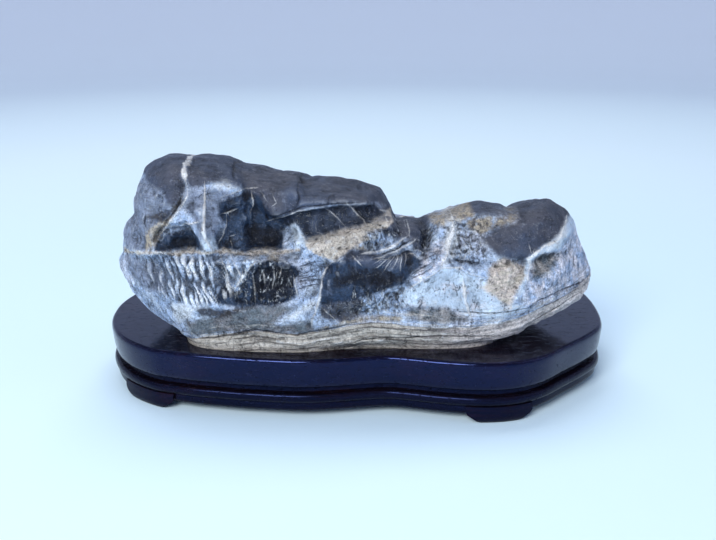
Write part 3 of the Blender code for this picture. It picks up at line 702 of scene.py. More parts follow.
# Dark cracks and grooves: half their width, depth and line
rockCracks = [
    (0.4, 0.3, [(-89, 115), (-91, 109), (-94, 105), (-98, 100)]),
    (0.6, 0.6, [(-46, 102), (-39, 104), (-27, 109.5), (-14, 110), (1, 110)]),
    (0.5, 0.5, [(-89, 38), (-74, 41), (-65, 43.4), (-53, 46), (-41, 45.5), (-31, 44.5), (-20, 47),
                (-6, 50.1), (8, 51)]),
    (0.4, 0.4, [(-7, 38), (3, 41), (14, 42), (28, 42), (43, 43), (59, 42), (75, 41)]),
    (0.5, 0.5, [(-109, 103.1), (-110, 99.2), (-109, 97.5)]),
    (0.4, 0.5, [(9, 84.8), (19, 85.4), (28, 86.2)]),
    (0.4, 0.4, [(6, 86.6), (14, 87.2), (22, 88.8), (28, 91.5)]),
    (0.4, 0.3, [(88, 45), (102, 49), (113, 53), (124, 55)]),
    (0.3, 0.3, [(53, 56.2), (72, 55.7), (86, 55.8), (94, 56.2)]),
    (0.4, 0.4, [(90, 57), (98, 58.7), (105, 59.9), (112, 60.6), (123, 60.1), (131, 61.9)]),
    (0.3, 0.3, [(94, 53), (105, 55), (116, 57), (128, 58)]),
    (0.3, 0.3, [(-31, 78.2), (-27, 76.5), (-21, 79)]),
    (0.3, 0.3, [(-31, 75.4), (-26, 74.3), (-19, 75.8)]),
    (0.3, 0.3, [(-29, 72.6), (-24, 73.2), (-18, 73.6)]),
    (0.3, 0.3, [(-29, 69.4), (-24, 70.4), (-19, 71.6)]),
    (0.3, 0.3, [(-29, 79.8), (-23, 81.7), (-18, 82.9)]),
    (0.3, 0.3, [(27, 73.9), (34, 77.5), (39, 81.2)]),
    (0.3, 0.3, [(27, 75.9), (33, 79.8), (38, 82.5)]),
    (0.3, 0.3, [(32, 82.6), (37, 85.3), (43, 86.3)]),
    (0.4, 0.3, [(49, 83.5), (57, 81.8), (64, 81)]),
    (0.4, 0.6, [(-31, 119), (-29, 114), (-31, 109)]),
    (0.5, 0.7, [(-66, 126), (-63, 122)]),
    (0.4, 0.4, [(-47, 105), (-47, 101.1), (-45, 99)]),
]

rockLook = {  # colours
    "slate": (0.033, 0.046, 0.085), "slateDark": (0.018, 0.023, 0.042), "slateWarm": (0.040, 0.044, 0.066),
    "blue": (0.290, 0.385, 0.560), "blueDark": (0.090, 0.120, 0.190), "blueLight": (0.430, 0.520, 0.660),
    "dusk": (0.175, 0.210, 0.300), "duskDark": (0.090, 0.110, 0.160),
    "ice": (0.580, 0.700, 0.840), "iceDark": (0.460, 0.570, 0.710), "lilac": (0.720, 0.680, 0.730),
    "milk": (0.600, 0.650, 0.710), "milkDark": (0.250, 0.285, 0.340),
    "cream": (0.450, 0.415, 0.370), "creamDark": (0.130, 0.122, 0.122), "tan": (0.450, 0.395, 0.310),
    "peach": (0.570, 0.485, 0.420), "brown": (0.040, 0.034, 0.033), "drab": (0.270, 0.260, 0.260),
    # the last colour on the next line is the painted shade under the upper block's brow
    "moss": (0.062, 0.080, 0.092), "underShade": (0.026, 0.038, 0.072),
    "night": (0.006, 0.010, 0.022), "nightBlue": (0.014, 0.032, 0.072), "core": (0.003, 0.004, 0.010),
    "vein": (0.700, 0.720, 0.750), "veinWarm": (0.520, 0.470, 0.420), "crack": (0.010, 0.012, 0.020),
    "strata": (0.400, 0.375, 0.340), "strataDark": (0.060, 0.055, 0.056),
    "strataLight": (0.600, 0.570, 0.530),
}


# How the zones are painted, in this order: mark, how ragged its edge is, where the edge starts and ends,
# share, ground, and what lies on that: noise, range, share and colour
rockPaint = [
    ("ice", 0.9, -1.8, 1.8, 0.9, "ice", [
        ("broad", 0.40, 0.60, 1, "iceDark"), ("patch", 0.48, 0.34, 0.5, "milk"),
        ("patch", 0.54, 0.66, 0.5, "lilac")]),
    ("dusk", 1.0, -2.5, 2.5, 0.85, "dusk", [("drift", 0.42, 0.62, 1, "duskDark")]),
    ("lilac", 0.8, -2.6, 2.6, 0.8, "lilac", [("patch", 0.38, 0.62, 1, "blue")]),
    ("tan", 1.0, -1.4, 1.4, 0.95, "tan", [("fine", 0.42, 0.60, 1, "creamDark")]),
    ("peach", 0.9, -1.6, 1.6, 0.85, "peach", [("ripple", 0.45, 0.58, 1, "tan")]),
    ("drab", 0.5, -2.0, 2.0, 0.9, "drab", [("patch", 0.40, 0.60, 1, "moss")]),
    ("moss", 1.0, -2.2, 2.2, 0.85, "moss", [("patch", 0.42, 0.62, 1, "creamDark")]),
    ("slate", 0.55, -1.6, 1.6, 0.96, "slate", [
        ("broad", 0.42, 0.58, 1, "slateWarm"), ("patch", 0.46, 0.62, 0.8, "slateDark"),
        ("fine", 0.50, 0.64, 0.35, "slateDark"), ("streak", 0.42, 0.32, 0.3, "dusk")]),
    ("brown", 0.6, -1.2, 1.2, 0.9, "brown", [("fine", 0.40, 0.60, 1, "slateDark")]),
    # painted shade under the upper block, with darker patches
    ("underShade", 0.3, -1.4, 1.4, 0.95, "underShade", [("patch", 0.40, 0.62, 1, "night")]),
    # the night zones, with a soft halo of the under-brow shade colour: painted shade in the niches, dark
    # stone elsewhere
    ("night", 0.6, -0.8, 2.2, 0.5, "underShade", []),
    ("night", 0.45, -0.8, 0.8, 0.96, "nightBlue", [
        ("patch", 0.44, 0.60, 1, "night"), ("streak", 0.44, 0.34, 0.5, "blueDark")]),
    # the core zones: painted shade deep in the niches, dark stone elsewhere
    ("core", 0.9, -2.4, 2.4, 0.85, "core", []),
    ("milk", 0.9, -1.8, 1.8, 0.85, "milk", [("fine", 0.46, 0.62, 0.6, "milkDark")]),
    ("cream", 0.42, -0.8, 0.8, 0.95, "cream", [
        ("patch", 0.42, 0.60, 1, "veinWarm"), ("fine", 0.54, 0.62, 0.8, "creamDark")]),
]


def stoneFinish():
    stone = Finish("bandedStone", Roughness=0.5, Specular_IOR_Level=0.22)
    look = rockLook
    broad = stone.grain(30, 3, 0.55)
    patch = stone.grain(8, 6, 0.68, shift=11)
    fine = stone.grain(2.4, 6, 0.7, shift=23)
    grit = stone.grain(0.8, 3, 0.65, shift=31)
    streak = stone.grain(3.0, 6, 0.66, stretch=(1, 1, 3.4), shift=5, bend=0.5)
    drift = stone.grain(3.0, 6, 0.62, stretch=(3, 3, 1), shift=41, bend=0.6)
    ripple = stone.grain(1.4, 4, 0.6, stretch=(5, 5, 1), shift=61, bend=0.8)
    noises = {"broad": broad, "patch": patch, "fine": fine}
    noises.update({"streak": streak, "drift": drift, "ripple": ripple})
    ragged = (stone.grain(5.5, 8, 0.72, shift=47) - 0.5) * 7.0
    fringe = (stone.grain(1.4, 5, 0.7, shift=53) - 0.5) * 3.0
    crest = stone.mark("crest")
    swell = stone.mark("swell")

    # the body of the stone: pale blue-grey, streaked down the face
    color = stone.mix(patch.step(0.36, 0.54), look["blueLight"], look["blue"])
    color = stone.mix(streak.step(0.48, 0.62) * 0.42, color, look["blueDark"])
    color = stone.mix(broad.step(0.50, 0.66) * 0.35, color, look["lilac"])
    color = stone.mix(fine.step(0.45, 0.36) * 0.5, color, look["ice"])

    def zone(name, rough, start, end):
        return (stone.mark(name) + (ragged + fringe) * rough).step(end, start)

    zones = {}
    for name, rough, start, end, share, ground, layers in rockPaint:
        zones[name] = zone(name, rough, start, end)
        painted = look[ground]
        for noiseName, low, high, amount, layer in layers:
            painted = stone.mix(noises[noiseName].step(low, high) * amount, painted, look[layer])
        color = stone.mix(zones[name] * share, color, painted)
    wanted = ("ice", "dusk", "slate", "brown", "underShade", "night", "milk", "cream")
    ice, dusk, slate, brown, underShade, night, milk, cream = [zones[name] for name in wanted]

    # pale flecks in the broken dark parts, drawn out upright
    flecked = zone("flecked", 0.7, -1.5, 1.5)
    fleck = stone.grain(1.5, 5, 0.66, stretch=(1, 1, 2.4), shift=71, bend=0.3).step(0.55, 0.61)
    color = stone.mix(flecked * fleck * 0.8, color, look["milk"])
    gap = stone.grain(2.0, 5, 0.66, stretch=(1, 1, 1.9), shift=77, bend=0.3).step(0.52, 0.58)
    color = stone.mix(flecked * gap * 0.7, color, look["night"])

    # fine cracks round upright cells, and ribs with a painted highlight on their tops and painted shade in
    # the grooves between them
    bent = stone.node("TexNoise", None, {"Vector": stone.place, "Scale": 0.22, "Detail": 3.0}, "Color")
    bent = stone.node("VectorMath", {"operation": "SCALE"}, {0: bent, "Scale": 1.1})
    sockets = {0: stone.place, 1: (0.24, 0.15, 0.11), 2: bent}
    cellPlace = stone.node("VectorMath", {"operation": "MULTIPLY_ADD"}, sockets)
    sockets = {"Vector": cellPlace, "Scale": 1.0}
    cellEdge = stone.node("TexVoronoi", {"feature": "DISTANCE_TO_EDGE"}, sockets)
    plain = (1 - slate) * (1 - ice * 0.9) * (1 - night) * (1 - milk)
    across = stone.node("SeparateXYZ", None, {0: stone.place}, 0)
    leftward = (across + ragged).fall(-104, -84) * (1 - dusk * 0.7)
    crackle = cellEdge.fall(0.0, 0.05) * plain * streak.step(0.42, 0.54) * leftward
    color = stone.mix(crackle * 0.6, color, look["crack"])
    field = (stone.mark("ribField") + ragged * 0.8).fall(-3.0, 2.0)
    ribs = stone.mark("ribEdge") + fringe * 0.10 + (patch - 0.5) * 0.5
    # painted highlight on the rib tops and painted shade in the grooves, stronger towards the right of the
    # field
    ribLightShare = across.step(-114, -88)
    ribHighlight = ribs.step(0.25, 0.65) * (fine.fall(0.44, 0.60) * 0.5 + 0.5)
    color = stone.mix(field * ribHighlight * ribLightShare, color, look["vein"])
    color = stone.mix(field * ribs.fall(0.06, 0.36) * (ribLightShare * 0.5 + 0.35), color, look["night"])

    # the bedding at the foot
    level = stone.mark("bedding")
    apart = stone.node("CombineXYZ", None, {0: across * 0.03, 1: broad * 1.5, 2: level * 0.6})
    layer = stone.grain(1.0, 7, 0.66, place=apart, shift=3, bend=0.35)
    slant = stone.node("CombineXYZ", None, {0: across * 0.35 + level * 0.5, 1: 0.0, 2: level * 0.12})
    hatch = stone.grain(1.0, 4, 0.6, place=slant, shift=9, bend=0.3).step(0.52, 0.62)
    below = (level + ragged * 0.14).fall(-0.4, 0.2)
    bedded = stone.mix(layer.step(0.40, 0.54), look["strataLight"], look["strata"])
    bedded = stone.mix(layer.step(0.53, 0.60) * 0.85, bedded, look["strataDark"])
    bedded = stone.mix(level.fall(-9.0, -5.0) * hatch * 0.5, bedded, look["creamDark"])
    bedded = stone.mix(grit.step(0.52, 0.64) * 0.3, bedded, look["creamDark"])
    bedded = stone.mix(across.step(20, 70) * 0.45, bedded, look["lilac"])
    color = stone.mix(below, color, bedded)
    above = level.fall(2.0, 16.0) * (1 - below) * (1 - brown) * (1 - night)
    color = stone.mix(above * layer.step(0.51, 0.60) * 0.6, color, look["creamDark"])
    color = stone.mix(above * layer.fall(0.38, 0.46) * 0.5, color, look["strataLight"])

    # veins and cracks, broken and uneven
    thin = stone.grain(7, 4, 0.6, shift=83)
    crackLine = abs(stone.mark("crackSide") + fringe * 0.5)
    crack = (crackLine - stone.mark("crackWide") * (thin * 2.4 - 0.35)).fall(-0.5, 0.35)
    crack = crack * stone.mark("crackNear").fall(1.0, 2.2)
    color = stone.mix(crack * 0.85, color, look["crack"])
    veinLine = abs(stone.mark("veinSide") + fringe * 0.5)
    vein = (veinLine - stone.mark("veinWide") * (thin * 2.2 - 0.55)).fall(-0.55, 0.25)
    vein = vein * stone.mark("veinNear").fall(1.2, 2.4)
    veiny = stone.mix(patch.step(0.46, 0.62) * 0.7, look["vein"], look["veinWarm"])
    color = stone.mix(vein * (0.35 + thin * 0.7).least(1.0), color, veiny)

    # painted highlight on crests and painted shade in hollows, then grain all over
    dim = slate.most(night).most(underShade).most(brown)
    # painted highlight: pale where the surface bends outwards, less on the dark zones; painted shade: dark
    # where it bends inwards
    color = stone.mix(crest.step(0.2, 0.9) * (0.4 - dim * 0.28), color, look["milk"])
    color = stone.mix(crest.fall(-0.6, -0.08) * 0.6, color, look["night"])
    calm = ((slate + underShade) * 0.6).most(ice * 0.7).most(dusk * 0.4)
    # the swell term is painted light and shade: broad bulges lighter, broad hollows darker
    tone = 1.0 + ((fine - 0.5) * 2.5 + (grit - 0.5) * 2.4) * (1 - calm) + swell * 0.25
    # painted shade: the stone's colour is darkened where it faces up, by up to 16%
    color = stone.mix(1.0, color, tone.most(0.2) * (1 - stone.upward() * 0.16), "MULTIPLY")
    pit = stone.node("TexVoronoi", {"feature": "F1"}, {"Vector": stone.place, "Scale": 0.34})
    pit = (pit + (grit - 0.5) * 0.3).fall(0.08, 0.22) * patch.step(0.46, 0.6)
    color = stone.mix(pit * 0.6, color, look["night"])
    seam = abs(stone.grain(9, 5, 0.6, stretch=(1, 1, 1.6), shift=91, bend=0.6) - 0.5).fall(0.0, 0.013)
    seam = seam * patch.step(0.44, 0.56)
    color = stone.mix(seam * 0.7, color, look["crack"])
    scar = abs(stone.grain(7, 5, 0.6, stretch=(1, 1, 0.6), shift=97, bend=0.6) - 0.5).fall(0.0, 0.012)
    scar = scar * fine.step(0.44, 0.56) * (1 - slate * 0.7) * (1 - night * 0.8)
    color = stone.mix(scar * 0.6, color, look["vein"])

    skin = stone.blend(slate.most(night), 0.62 + (fine - 0.5) * 0.4, 0.50 + (patch - 0.5) * 0.4)
    rough = stone.blend(cream.most(below), skin, 0.7)
    height = fine * 1.3 + grit * 0.5 - pit * 0.5 - seam * 0.5 + scar * 0.3
    height = height + below * layer * 2.2 + flecked * (fleck - gap) * 0.8 - crack * 0.9 + vein * 0.5
    height = height - field * ribs.fall(0.05, 0.5) * 1.0 - crackle * 0.5
    height = height * (1 - slate * 0.45)
    stone.feed(Base_Color=color, Roughness=rough.least(0.9).most(0.25), Normal=stone.relief(height, 0.9))
    return stone


def onFace(points):  # X and Z on the face, bent with depth, so that bands run through the stone
    x, y, z = points.T
    deep = ramp(y, *rock["turning"])
    sway, swayWave, swayStart = rock["sway"]
    lift, liftWave, liftStart = rock["lift"]
    across = x + sway * deep * np.sin(z / swayWave + swayStart)
    return np.column_stack([across, z + lift * deep * np.sin(x / liftWave + liftStart)])


def heightOverBeds(face):
    along, level = np.array(rockBedding, float).T
    return face[:, 1] - np.interp(face[:, 0], along, level)


def into(face, name):  # distance to the nearest outline of a zone, negative inside
    return np.min([insideness(face, outline) for outline in rockZones[name]], 0)


def faceMarks(mesh):  # what the finish reads: zones, bedding, ribs, veins and cracks
    points = readPoints(mesh)
    face = onFace(points)
    shrink, near, far = rock["fading"]
    fading = shrink * ramp(points[:, 1], near, far)  # not for the dark cap
    for name in rockZones:
        keepMark(mesh, name, np.clip(into(face, name) + fading * (name not in ("slate", "dusk")), -15, 15))
    keepMark(mesh, "bedding", heightOverBeds(face))
    keepMark(mesh, "ribField", np.clip(insideness(face, rockRibs["field"]) + 4 * fading, -15, 15))
    keepMark(mesh, "ribEdge", ribEdges(face))
    for name, lines in (("vein", rockVeins), ("crack", [(wide, line) for wide, deep, line in rockCracks])):
        near = np.full(len(face), 99.0)
        side = np.full(len(face), 99.0)
        wide = np.zeros(len(face))
        for half, line in lines:
            distance, signed, along = lineSides(face, line)
            closer = distance < near
            near = np.where(closer, distance, near)
            side = np.where(closer, signed, side)
            wide = np.where(closer, half * tapered(along), wide)
        keepMark(mesh, name + "Near", near)
        keepMark(mesh, name + "Side", side)
        keepMark(mesh, name + "Wide", wide)


def crestMarks(mesh):  # how far each point stands out of what lies round it, nearby and further off
    points = readPoints(mesh)
    normals = readPoints(mesh, "normal")
    ends = np.empty(len(mesh.edges) * 2, np.int32)
    mesh.edges.foreach_get("vertices", ends)
    first, second = ends.reshape(-1, 2).T
    edgesAt = np.bincount(ends, minlength=len(points))

    def gather(onEdges):
        total = np.bincount(first, onEdges, len(points)) + np.bincount(second, onEdges, len(points))
        return total / edgesAt

    span = points[second] - points[first]
    bend = gather(((normals[second] - normals[first]) * span).sum(1) / (span * span).sum(1))
    for name, (rounds, reach) in rock["crests"].items():
        for turn in range(rounds):
            bend = gather((bend[first] + bend[second]) / 2)
        keepMark(mesh, name, np.clip(bend * reach, -1, 1))


def ribEdges(face):  # distance to the nearest groove between two ribs
    x, z = face.T
    lean = rockRibs["lean"] * (z - 70)
    wander = sum(far * np.sin(z / up + x / along) for far, up, along in rockRibs["wander"])
    cells = np.column_stack([(x + lean + wander) / rockRibs["wide"], z / rockRibs["long"], 0 * x])
    nearest = np.array([noise.voronoi(Vector(cell))[0][:2] for cell in cells])
    return (nearest[:, 1] - nearest[:, 0]) * rockRibs["wide"] / 2


def carveMasses(mesh):  # the niches, ledges, ridges, cleft and lumps
    points = readPoints(mesh)
    normals = readPoints(mesh, "normal")
    face = onFace(points)
    depth = np.zeros(len(points))
    for sign, forms in ((-1, rockHollows), (1, rockRises)):
        for outline, high, run in forms:
            depth += sign * high * ramp(-insideness(face, outline), -run / 2, run / 2)
    for high, half, line in rockRidges:
        near, side, along = lineSides(face, line)
        depth += high * tapered(along) * (1 - ramp(near, 0, half))
    near, side, along = lineSides(face, rockCleft["line"])
    depth -= rockCleft["deep"] * (1 - ramp(near, 0, rockCleft["wide"]))
    forwards = ramp(-normals[:, 1], 0.0, 0.25)
    backwards = ramp(normals[:, 1], 0.0, 0.25)
    points[:, 1] += depth * (rock["backShare"] * backwards - forwards)
    free = ramp(points[:, 2], 35, 42)
    skin = sum(high * lumps(points, size) for size, high in rock["skinLumps"])
    skin += sum(high * crags(points, size, 2) for size, high in rock["skinCrags"])
    writePoints(mesh, points + normals * ((skin + rock["putBack"]) * free)[:, None])


def carveSkin(mesh):  # the finer ribs, cracks, veins, bedding and grit
    points = readPoints(mesh)
    normals = readPoints(mesh, "normal")
    face = onFace(points)
    ribbed = ramp(-insideness(face, rockRibs["field"]), -3, 2)
    height = rockRibs["deep"] * ribbed * (ramp(ribEdges(face), 0.0, 0.7) - 1)
    for wide, deep, line in rockCracks:
        near, side, along = lineSides(face, line)
        height -= deep * tapered(along) * (1 - ramp(near, 0, wide + 0.9))
    least, gain = rock["veinHeight"]
    for wide, line in rockVeins:
        near, side, along = lineSides(face, line)
        height += (least + gain * wide) * tapered(along) * (1 - ramp(near, 0, wide + 0.6))
    over = heightOverBeds(face)
    bedded = ramp(-over, -2, 0.5)
    beds = np.column_stack([points[:, :2] * 0.03, over * 0.62])
    height += rock["bedLumps"] * bedded * lumps(beds, 1.0, 7.3)
    smooth = ramp(-into(face, "slate"), -3, 1)
    broken = ramp(-into(face, "flecked"), -1, 1)
    rough = ramp(-into(face, "cream"), -1, 1)
    calm = ramp(-into(face, "ice"), -3, 1) * 0.6
    size, high = rock["brokenCrags"]
    height += high * broken * crags(points * (1, 1, 0.5), size, 2, 3.1)
    size, high = rock["creamCrags"]
    height += high * rough * crags(points, size, 2, 9.7)
    size, high = rock["faceCrags"]
    height += high * (1 - smooth) * (1 - bedded) * (1 - calm) * crags(points * (1, 1, 0.4), size, 2, 5.2)
    height += sum(high * lumps(points, size, 1.7) for size, high in rock["skinGrit"]) * (1 - 0.6 * smooth)
    facing = ramp(abs(normals[:, 1]), -0.2, 0.4)
    free = ramp(points[:, 2], 35.5, 39)
    writePoints(mesh, points + normals * (height * facing * free)[:, None])


def splitFront(mesh):  # halves the grid on the front face
    bm = bmesh.new()
    bm.from_mesh(mesh)
    lowest = rock["frontFrom"] * mm
    front = [face for face in bm.faces
             if face.normal.y < rock["frontFacing"] and face.calc_center_median().z > lowest]
    edges = list({edge for face in front for edge in face.edges})
    bmesh.ops.subdivide_edges(bm, edges=edges, cuts=1, use_grid_fill=True)
    bm.to_mesh(mesh)
    bm.free()
    mesh.update()


def buildRock(finish):
    bm = bmesh.new()
    for corners in rockMasses.values():
        made = [bm.verts.new(Vector(corner) * mm) for corner in corners]
        hull = bmesh.ops.convex_hull(bm, input=made)
        unused = hull["geom_interior"] + hull["geom_unused"]
        loose = {item for item in unused if isinstance(item, bmesh.types.BMVert)}
        bmesh.ops.delete(bm, geom=list(loose), context="VERTS")
    bmesh.ops.recalc_face_normals(bm, faces=bm.faces)
    plan = smoothLoop(rock["foot"], 56)
    foot = steppedBoard("rockFoot", [(plan, height) for height in rock["footHeights"]])
    bm.from_mesh(foot.data)
    bpy.data.objects.remove(foot)
    piece = newPiece("rockStone", meshFrom(bm, "rockMasses"))
    remesh(piece, rock["fuseSize"])
    wear(piece, rock["wearRounds"])
    carveMasses(settle(piece))
    remesh(piece, rock["skinSize"])
    wear(piece, 1, 0.4)
    mesh = settle(piece)
    splitFront(mesh)
    faceMarks(mesh)
    carveSkin(mesh)
    crestMarks(mesh)
    paint(mesh, finish)
    standFor(piece, "rock")
    print("rock:", sum(len(face.vertices) - 2 for face in mesh.polygons), "triangles")


# The stand

stand = {
    "plan": [  # round the top edge, counterclockwise from the dip in the front
        (17, -61.4), (27, -63.3), (42, -67.1), (57, -69.6), (67, -70.2), (78, -69.0), (89, -65.2),
        (100, -58.2), (113, -45.5), (127, -31.4), (136, -19.6), (140, -7.2), (142, 11), (142, 28),
        (140, 41), (132, 54), (117, 64), (95, 69.5), (60, 69.6), (25, 66.2), (0, 64.4), (-25, 65.4),
        (-58, 69), (-88, 69.4), (-110, 64), (-127, 53), (-137, 38), (-141.8, 20), (-142, 4),
        (-140.4, -7.2), (-137, -18), (-131, -30), (-121.7, -41.4), (-108.8, -50.9), (-97.5, -54.9),
        (-86.5, -58.2), (-70.5, -61.4), (-54.8, -64), (-29, -66.5), (-8.5, -64.6), (6.7, -62.1),
    ],
    "stations": 288,
    "seatFloor": 30.0, "seatClearance": 0.9,
    "cutterTop": 36,  # where the seat's cutter ends, over the board
    "sharp": 38,  # degrees at an edge that stays crisp
    "topEdge": [  # how far in from the plan, and the height, bottom to top
        (2.6, 18.0), (2.0, 18.15), (1.6, 18.7), (1.15, 20.5), (0.75, 23), (0.45, 26), (0.2, 29),
        (0.05, 31.2), (0.12, 32.2), (0.4, 33.0), (0.85, 33.6), (1.4, 33.92), (1.9, 34.0), (2.6, 34.0),
    ],
    "baseEdge": [
        (3.0, 5.0), (2.3, 5.1), (1.9, 5.6), (1.8, 6.6), (2.2, 8.6), (2.4, 9.3), (1.9, 9.42), (1.3, 9.6),
        (0.7, 10.2), (0.35, 11.1), (0.3, 12.2), (0.5, 13.2), (0.95, 13.95), (1.5, 14.35), (2.2, 14.5),
        (4.0, 14.5), (4.6, 14.8), (4.8, 15.6), (4.8, 17.7),
    ],
}

feet = {
    "places": {
        "footFrontLeft": ("foot_front_left", (-114, -46)),
        "footFrontRight": ("foot_front_right", (74, -70)),
        "footBackLeft": ("foot_back_left", (-112, 64)),
        "footBackRight": ("foot_back_right", (106, 68)),
    },
    "depth": 17.0, "taper": 0.8, "stations": 25,
    "levels": [  # height, half length, and how far in from the plan
        (0, 10.4, 1.9), (0.35, 11.0, 1.4), (1.2, 12.4, 0.7), (2.2, 14.0, 0.3), (3.2, 15.5, 0.12),
        (4.2, 17.0, 0.12), (5.0, 18.0, 0.25), (6.4, 18.4, 0.3), (8.0, 18.5, 0.45), (9.1, 18.5, 0.8),
        (9.3, 18.4, 1.3),
    ],
    "notch": (0.45, 2.0),  # clearance round a foot, and how far its notch's cutter runs past the apron
    "notchHeights": (5, 9.6),
}

woodLook = {
    "dark": (0.0012, 0.0014, 0.0038), "light": (0.0035, 0.0032, 0.0075), "red": (0.0090, 0.0034, 0.0044),
    "pore": (0.0008, 0.0008, 0.0018), "rub": (0.0500, 0.0400, 0.0500),
    "sheen": (0.22, 0.33, 1.0),  # the tint of its wax
    "board": {"red": 0.12, "shine": 0.06, "wax": 0.54},
    "base": {"red": 0.05, "shine": 0.16, "wax": 0.24},
    "foot": {"red": 0.4, "shine": 0.3, "wax": 0.25},
}


def woodFinish(name, red, shine, wax):
    look = woodLook
    wood = Finish(name, Specular_IOR_Level=wax, Specular_Tint=look["sheen"])
    figure = wood.grain(16, 4, 0.55, stretch=(7, 1, 1), shift=2, bend=1.4)
    fibre = wood.grain(1.6, 5, 0.6, stretch=(14, 1, 1), shift=8)
    pores = wood.grain(0.75, 2, 0.5, stretch=(6, 1, 1), shift=14).step(0.60, 0.68)
    cloud = wood.grain(40, 3, 0.5, shift=21)
    color = wood.mix(figure.step(0.35, 0.7), look["dark"], look["light"])
    warm = wood.mix(fibre.step(0.4, 0.62), look["red"], look["dark"])
    # redder where the wood faces up: partly the wood's own warm tone, partly a painted reflection of the pale
    # stone on the board's top
    color = wood.mix((cloud.step(0.45, 0.62) * 0.4 + wood.upward() * 0.25 + red).least(1.0), color, warm)
    color = wood.mix(fibre.step(0.55, 0.75) * 0.35, color, look["light"])
    color = wood.mix(pores * 0.8, color, look["pore"])
    rub = wood.grain(5, 4, 0.7, stretch=(3, 1, 1), shift=33).step(0.62, 0.72)
    color = wood.mix(rub * 0.12, color, look["rub"])
    rough = shine + fibre * 0.09 + cloud * 0.05 + pores * 0.3
    height = fibre * 0.45 - pores * 1.0 + cloud * 0.4
    wood.feed(Base_Color=color, Roughness=rough, Normal=wood.relief(height, 0.12))
    return wood


def footPlan(plan, middle, halfLength, inset, depth):
    edge = movedIn(plan, inset)
    inner = movedIn(plan, depth)
    length = np.hypot(*(np.roll(plan, -1, 0) - plan).T).sum()
    place = np.argmin(np.hypot(*(plan - middle).T))
    reach = halfLength / length * len(plan)
    stations = np.linspace(place - reach, place + reach, feet["stations"])

    def along(loop, at):  # points of a loop at numbers between its own
        low = np.floor(at).astype(int)
        share = (at - low)[:, None]
        return loop[low % len(loop)] * (1 - share) + loop[(low + 1) % len(loop)] * share

    back = place + (stations[::-1] - place) * feet["taper"]
    return np.vstack([along(edge, stations), along(inner, back)])


def buildStand():
    plan = smoothLoop(stand["plan"], stand["stations"])
    plan -= (plan.min(0) + plan.max(0)) / 2

    def board(name, edge):
        return steppedBoard(name, [(movedIn(plan, inset), height) for inset, height in edge])

    def dress(piece, finish, node):
        paint(piece.data, finish, stand["sharp"])
        standFor(piece, node)

    woods = [woodFinish(part + "Wood", **woodLook[part]) for part in ("board", "base", "foot")]
    boardWood, baseWood, footWood = woods
    top = board("topBoard", stand["topEdge"])
    seatPlan = movedIn(smoothLoop(rock["foot"], 112), -stand["seatClearance"])
    seatHeights = (stand["seatFloor"], stand["cutterTop"])
    cutOut(top, steppedBoard("seat", [(seatPlan, height) for height in seatHeights]))
    dress(top, boardWood, "stand_top")

    base = board("baseBoard", stand["baseEdge"])
    clearance, overrun = feet["notch"]
    low, high = feet["notchHeights"]
    widest = max(half for height, half, inset in feet["levels"]) + clearance
    for name, (node, middle) in feet["places"].items():
        levels = []
        for height, half, inset in feet["levels"]:
            levels.append((footPlan(plan, middle, half, inset, feet["depth"]), height))
        dress(steppedBoard(name, levels), footWood, node)
        notch = footPlan(plan, middle, widest, -overrun, feet["depth"] + clearance)
        cutOut(base, steppedBoard("notch", [(notch, low - overrun), (notch, high)]))
    dress(base, baseWood, "stand_base")
    print("stand: top board", len(top.data.polygons), "faces, base", len(base.data.polygons))


# The setting

setting = {
    "floorRings": [0, 60, 200, 500, 900, 1500], "rimRadius": 500, "wallHeight": 1100, "turns": 96,
    # painted shade: the floor is darker near the stand, where its shadow falls, and darker far off and up the
    # wall, where the light falls off
    "near": (0.63, 0.80, 0.925), "nearFade": (200, 800),
    "pale": (0.71, 0.85, 0.93), "far": (0.55, 0.595, 0.72), "fade": (900, 2300),
    "sky": (0.42, 0.60, 1.0), "skyStrength": 0.38,
    "key": (1.0, 0.98, 0.93),
    "lights": {  # where it stands, where it aims, its size and its power
        "frontBox": ((-500, -1350, 1050), (0, 0, 60), (900, 600), 30.5),
        "rightBox": ((1200, -350, 900), (60, 0, 50), (700, 900), 1),
        "topBox": ((-100, 650, 1550), (0, 350, 0), (1300, 800), 14),
    },
    "eye": (0.55, -488.08, 219.71), "tilt": 72,  # degrees up from looking straight down
    "focal": 900, "frameWidth": 716,  # in pixels
    "sensor": 36,
}


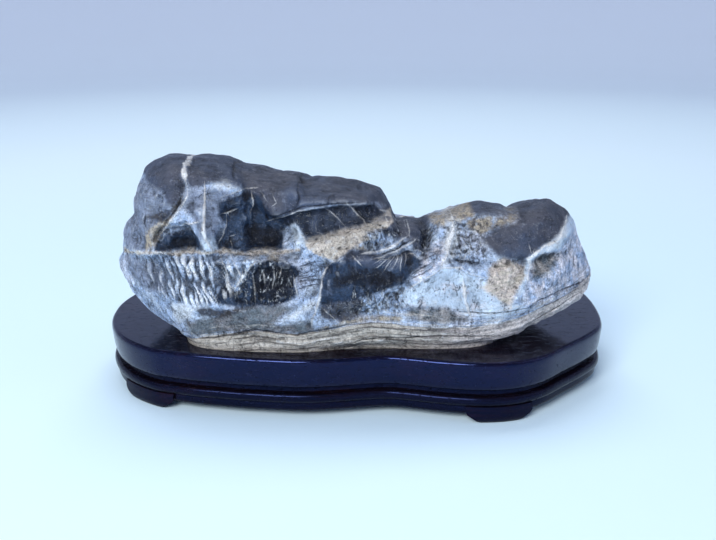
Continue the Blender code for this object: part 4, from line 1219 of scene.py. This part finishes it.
def buildStage():
    floorRadius = setting["floorRings"][-1]
    rim = setting["rimRadius"]
    profile = [(radius, 0) for radius in setting["floorRings"]]
    for turn in np.linspace(0.15, 1, 8) * math.pi / 2:
        profile.append((floorRadius + rim * math.sin(turn), rim * (1 - math.cos(turn))))
    profile.append((profile[-1][0], setting["wallHeight"]))
    bm = bmesh.new()
    line = [bm.verts.new((radius * mm, 0, height * mm)) for radius, height in profile]
    edges = [bm.edges.new(pair) for pair in zip(line[:-1], line[1:])]
    bmesh.ops.spin(bm, geom=line + edges, axis=(0, 0, 1), cent=(0, 0, 0), angle=math.tau,
                   steps=setting["turns"], use_merge=True)
    bmesh.ops.remove_doubles(bm, verts=bm.verts, dist=1e-5)
    bmesh.ops.recalc_face_normals(bm, faces=bm.faces)
    floor = newPiece("paleFloor", meshFrom(bm, "paleFloor"))
    paper = Finish("palePaper", Roughness=0.75, Specular_IOR_Level=0.2)
    reach = paper.node("VectorMath", {"operation": "LENGTH"}, {0: paper.place}, "Value")
    soft = (paper.grain(60, 2, 0.5) - 0.5) * 0.02
    # painted shade near the stand, then painted falloff of light far off and up the wall
    tone = paper.mix(reach.step(*setting["nearFade"]), setting["near"], setting["pale"])
    shade = (reach.step(*setting["fade"]) + soft).least(1.0).most(0.0)
    paper.feed(Base_Color=paper.mix(shade, tone, setting["far"]))
    paint(floor.data, paper)


def softLight(name, place, aim, size, power):
    light = bpy.data.lights.new(name, "AREA")
    light.shape = "RECTANGLE"
    light.size = size[0] * mm
    light.size_y = size[1] * mm
    light.energy = power
    light.color = setting["key"]
    lamp = bpy.data.objects.new(name, light)
    bpy.context.scene.collection.objects.link(lamp)
    lamp.location = Vector(place) * mm
    lamp.rotation_euler = (Vector(aim) - Vector(place)).to_track_quat("-Z", "Y").to_euler()


def buildSetting():
    scene = bpy.context.scene
    world = bpy.data.worlds.new("studio")
    world.use_nodes = True
    backdrop = world.node_tree.nodes["Background"]
    backdrop.inputs["Color"].default_value = (*setting["sky"], 1)
    backdrop.inputs["Strength"].default_value = setting["skyStrength"]
    scene.world = world
    scene.view_settings.view_transform = "Standard"
    buildStage()
    for name, (place, aim, size, power) in setting["lights"].items():
        softLight(name, place, aim, size, power)

    camera = bpy.data.cameras.new("studioCamera")
    camera.sensor_width = setting["sensor"]
    camera.lens = setting["sensor"] * setting["focal"] / setting["frameWidth"]
    camera.clip_end = 20
    eye = bpy.data.objects.new("studioCamera", camera)
    scene.collection.objects.link(eye)
    eye.location = Vector(setting["eye"]) * mm
    eye.rotation_euler = (math.radians(setting["tilt"]), 0, 0)
    scene.camera = eye
    print("setting: floor, lights and camera")


buildSetting()
buildStand()
buildRock(stoneFinish())

bpy.context.view_layer.update()
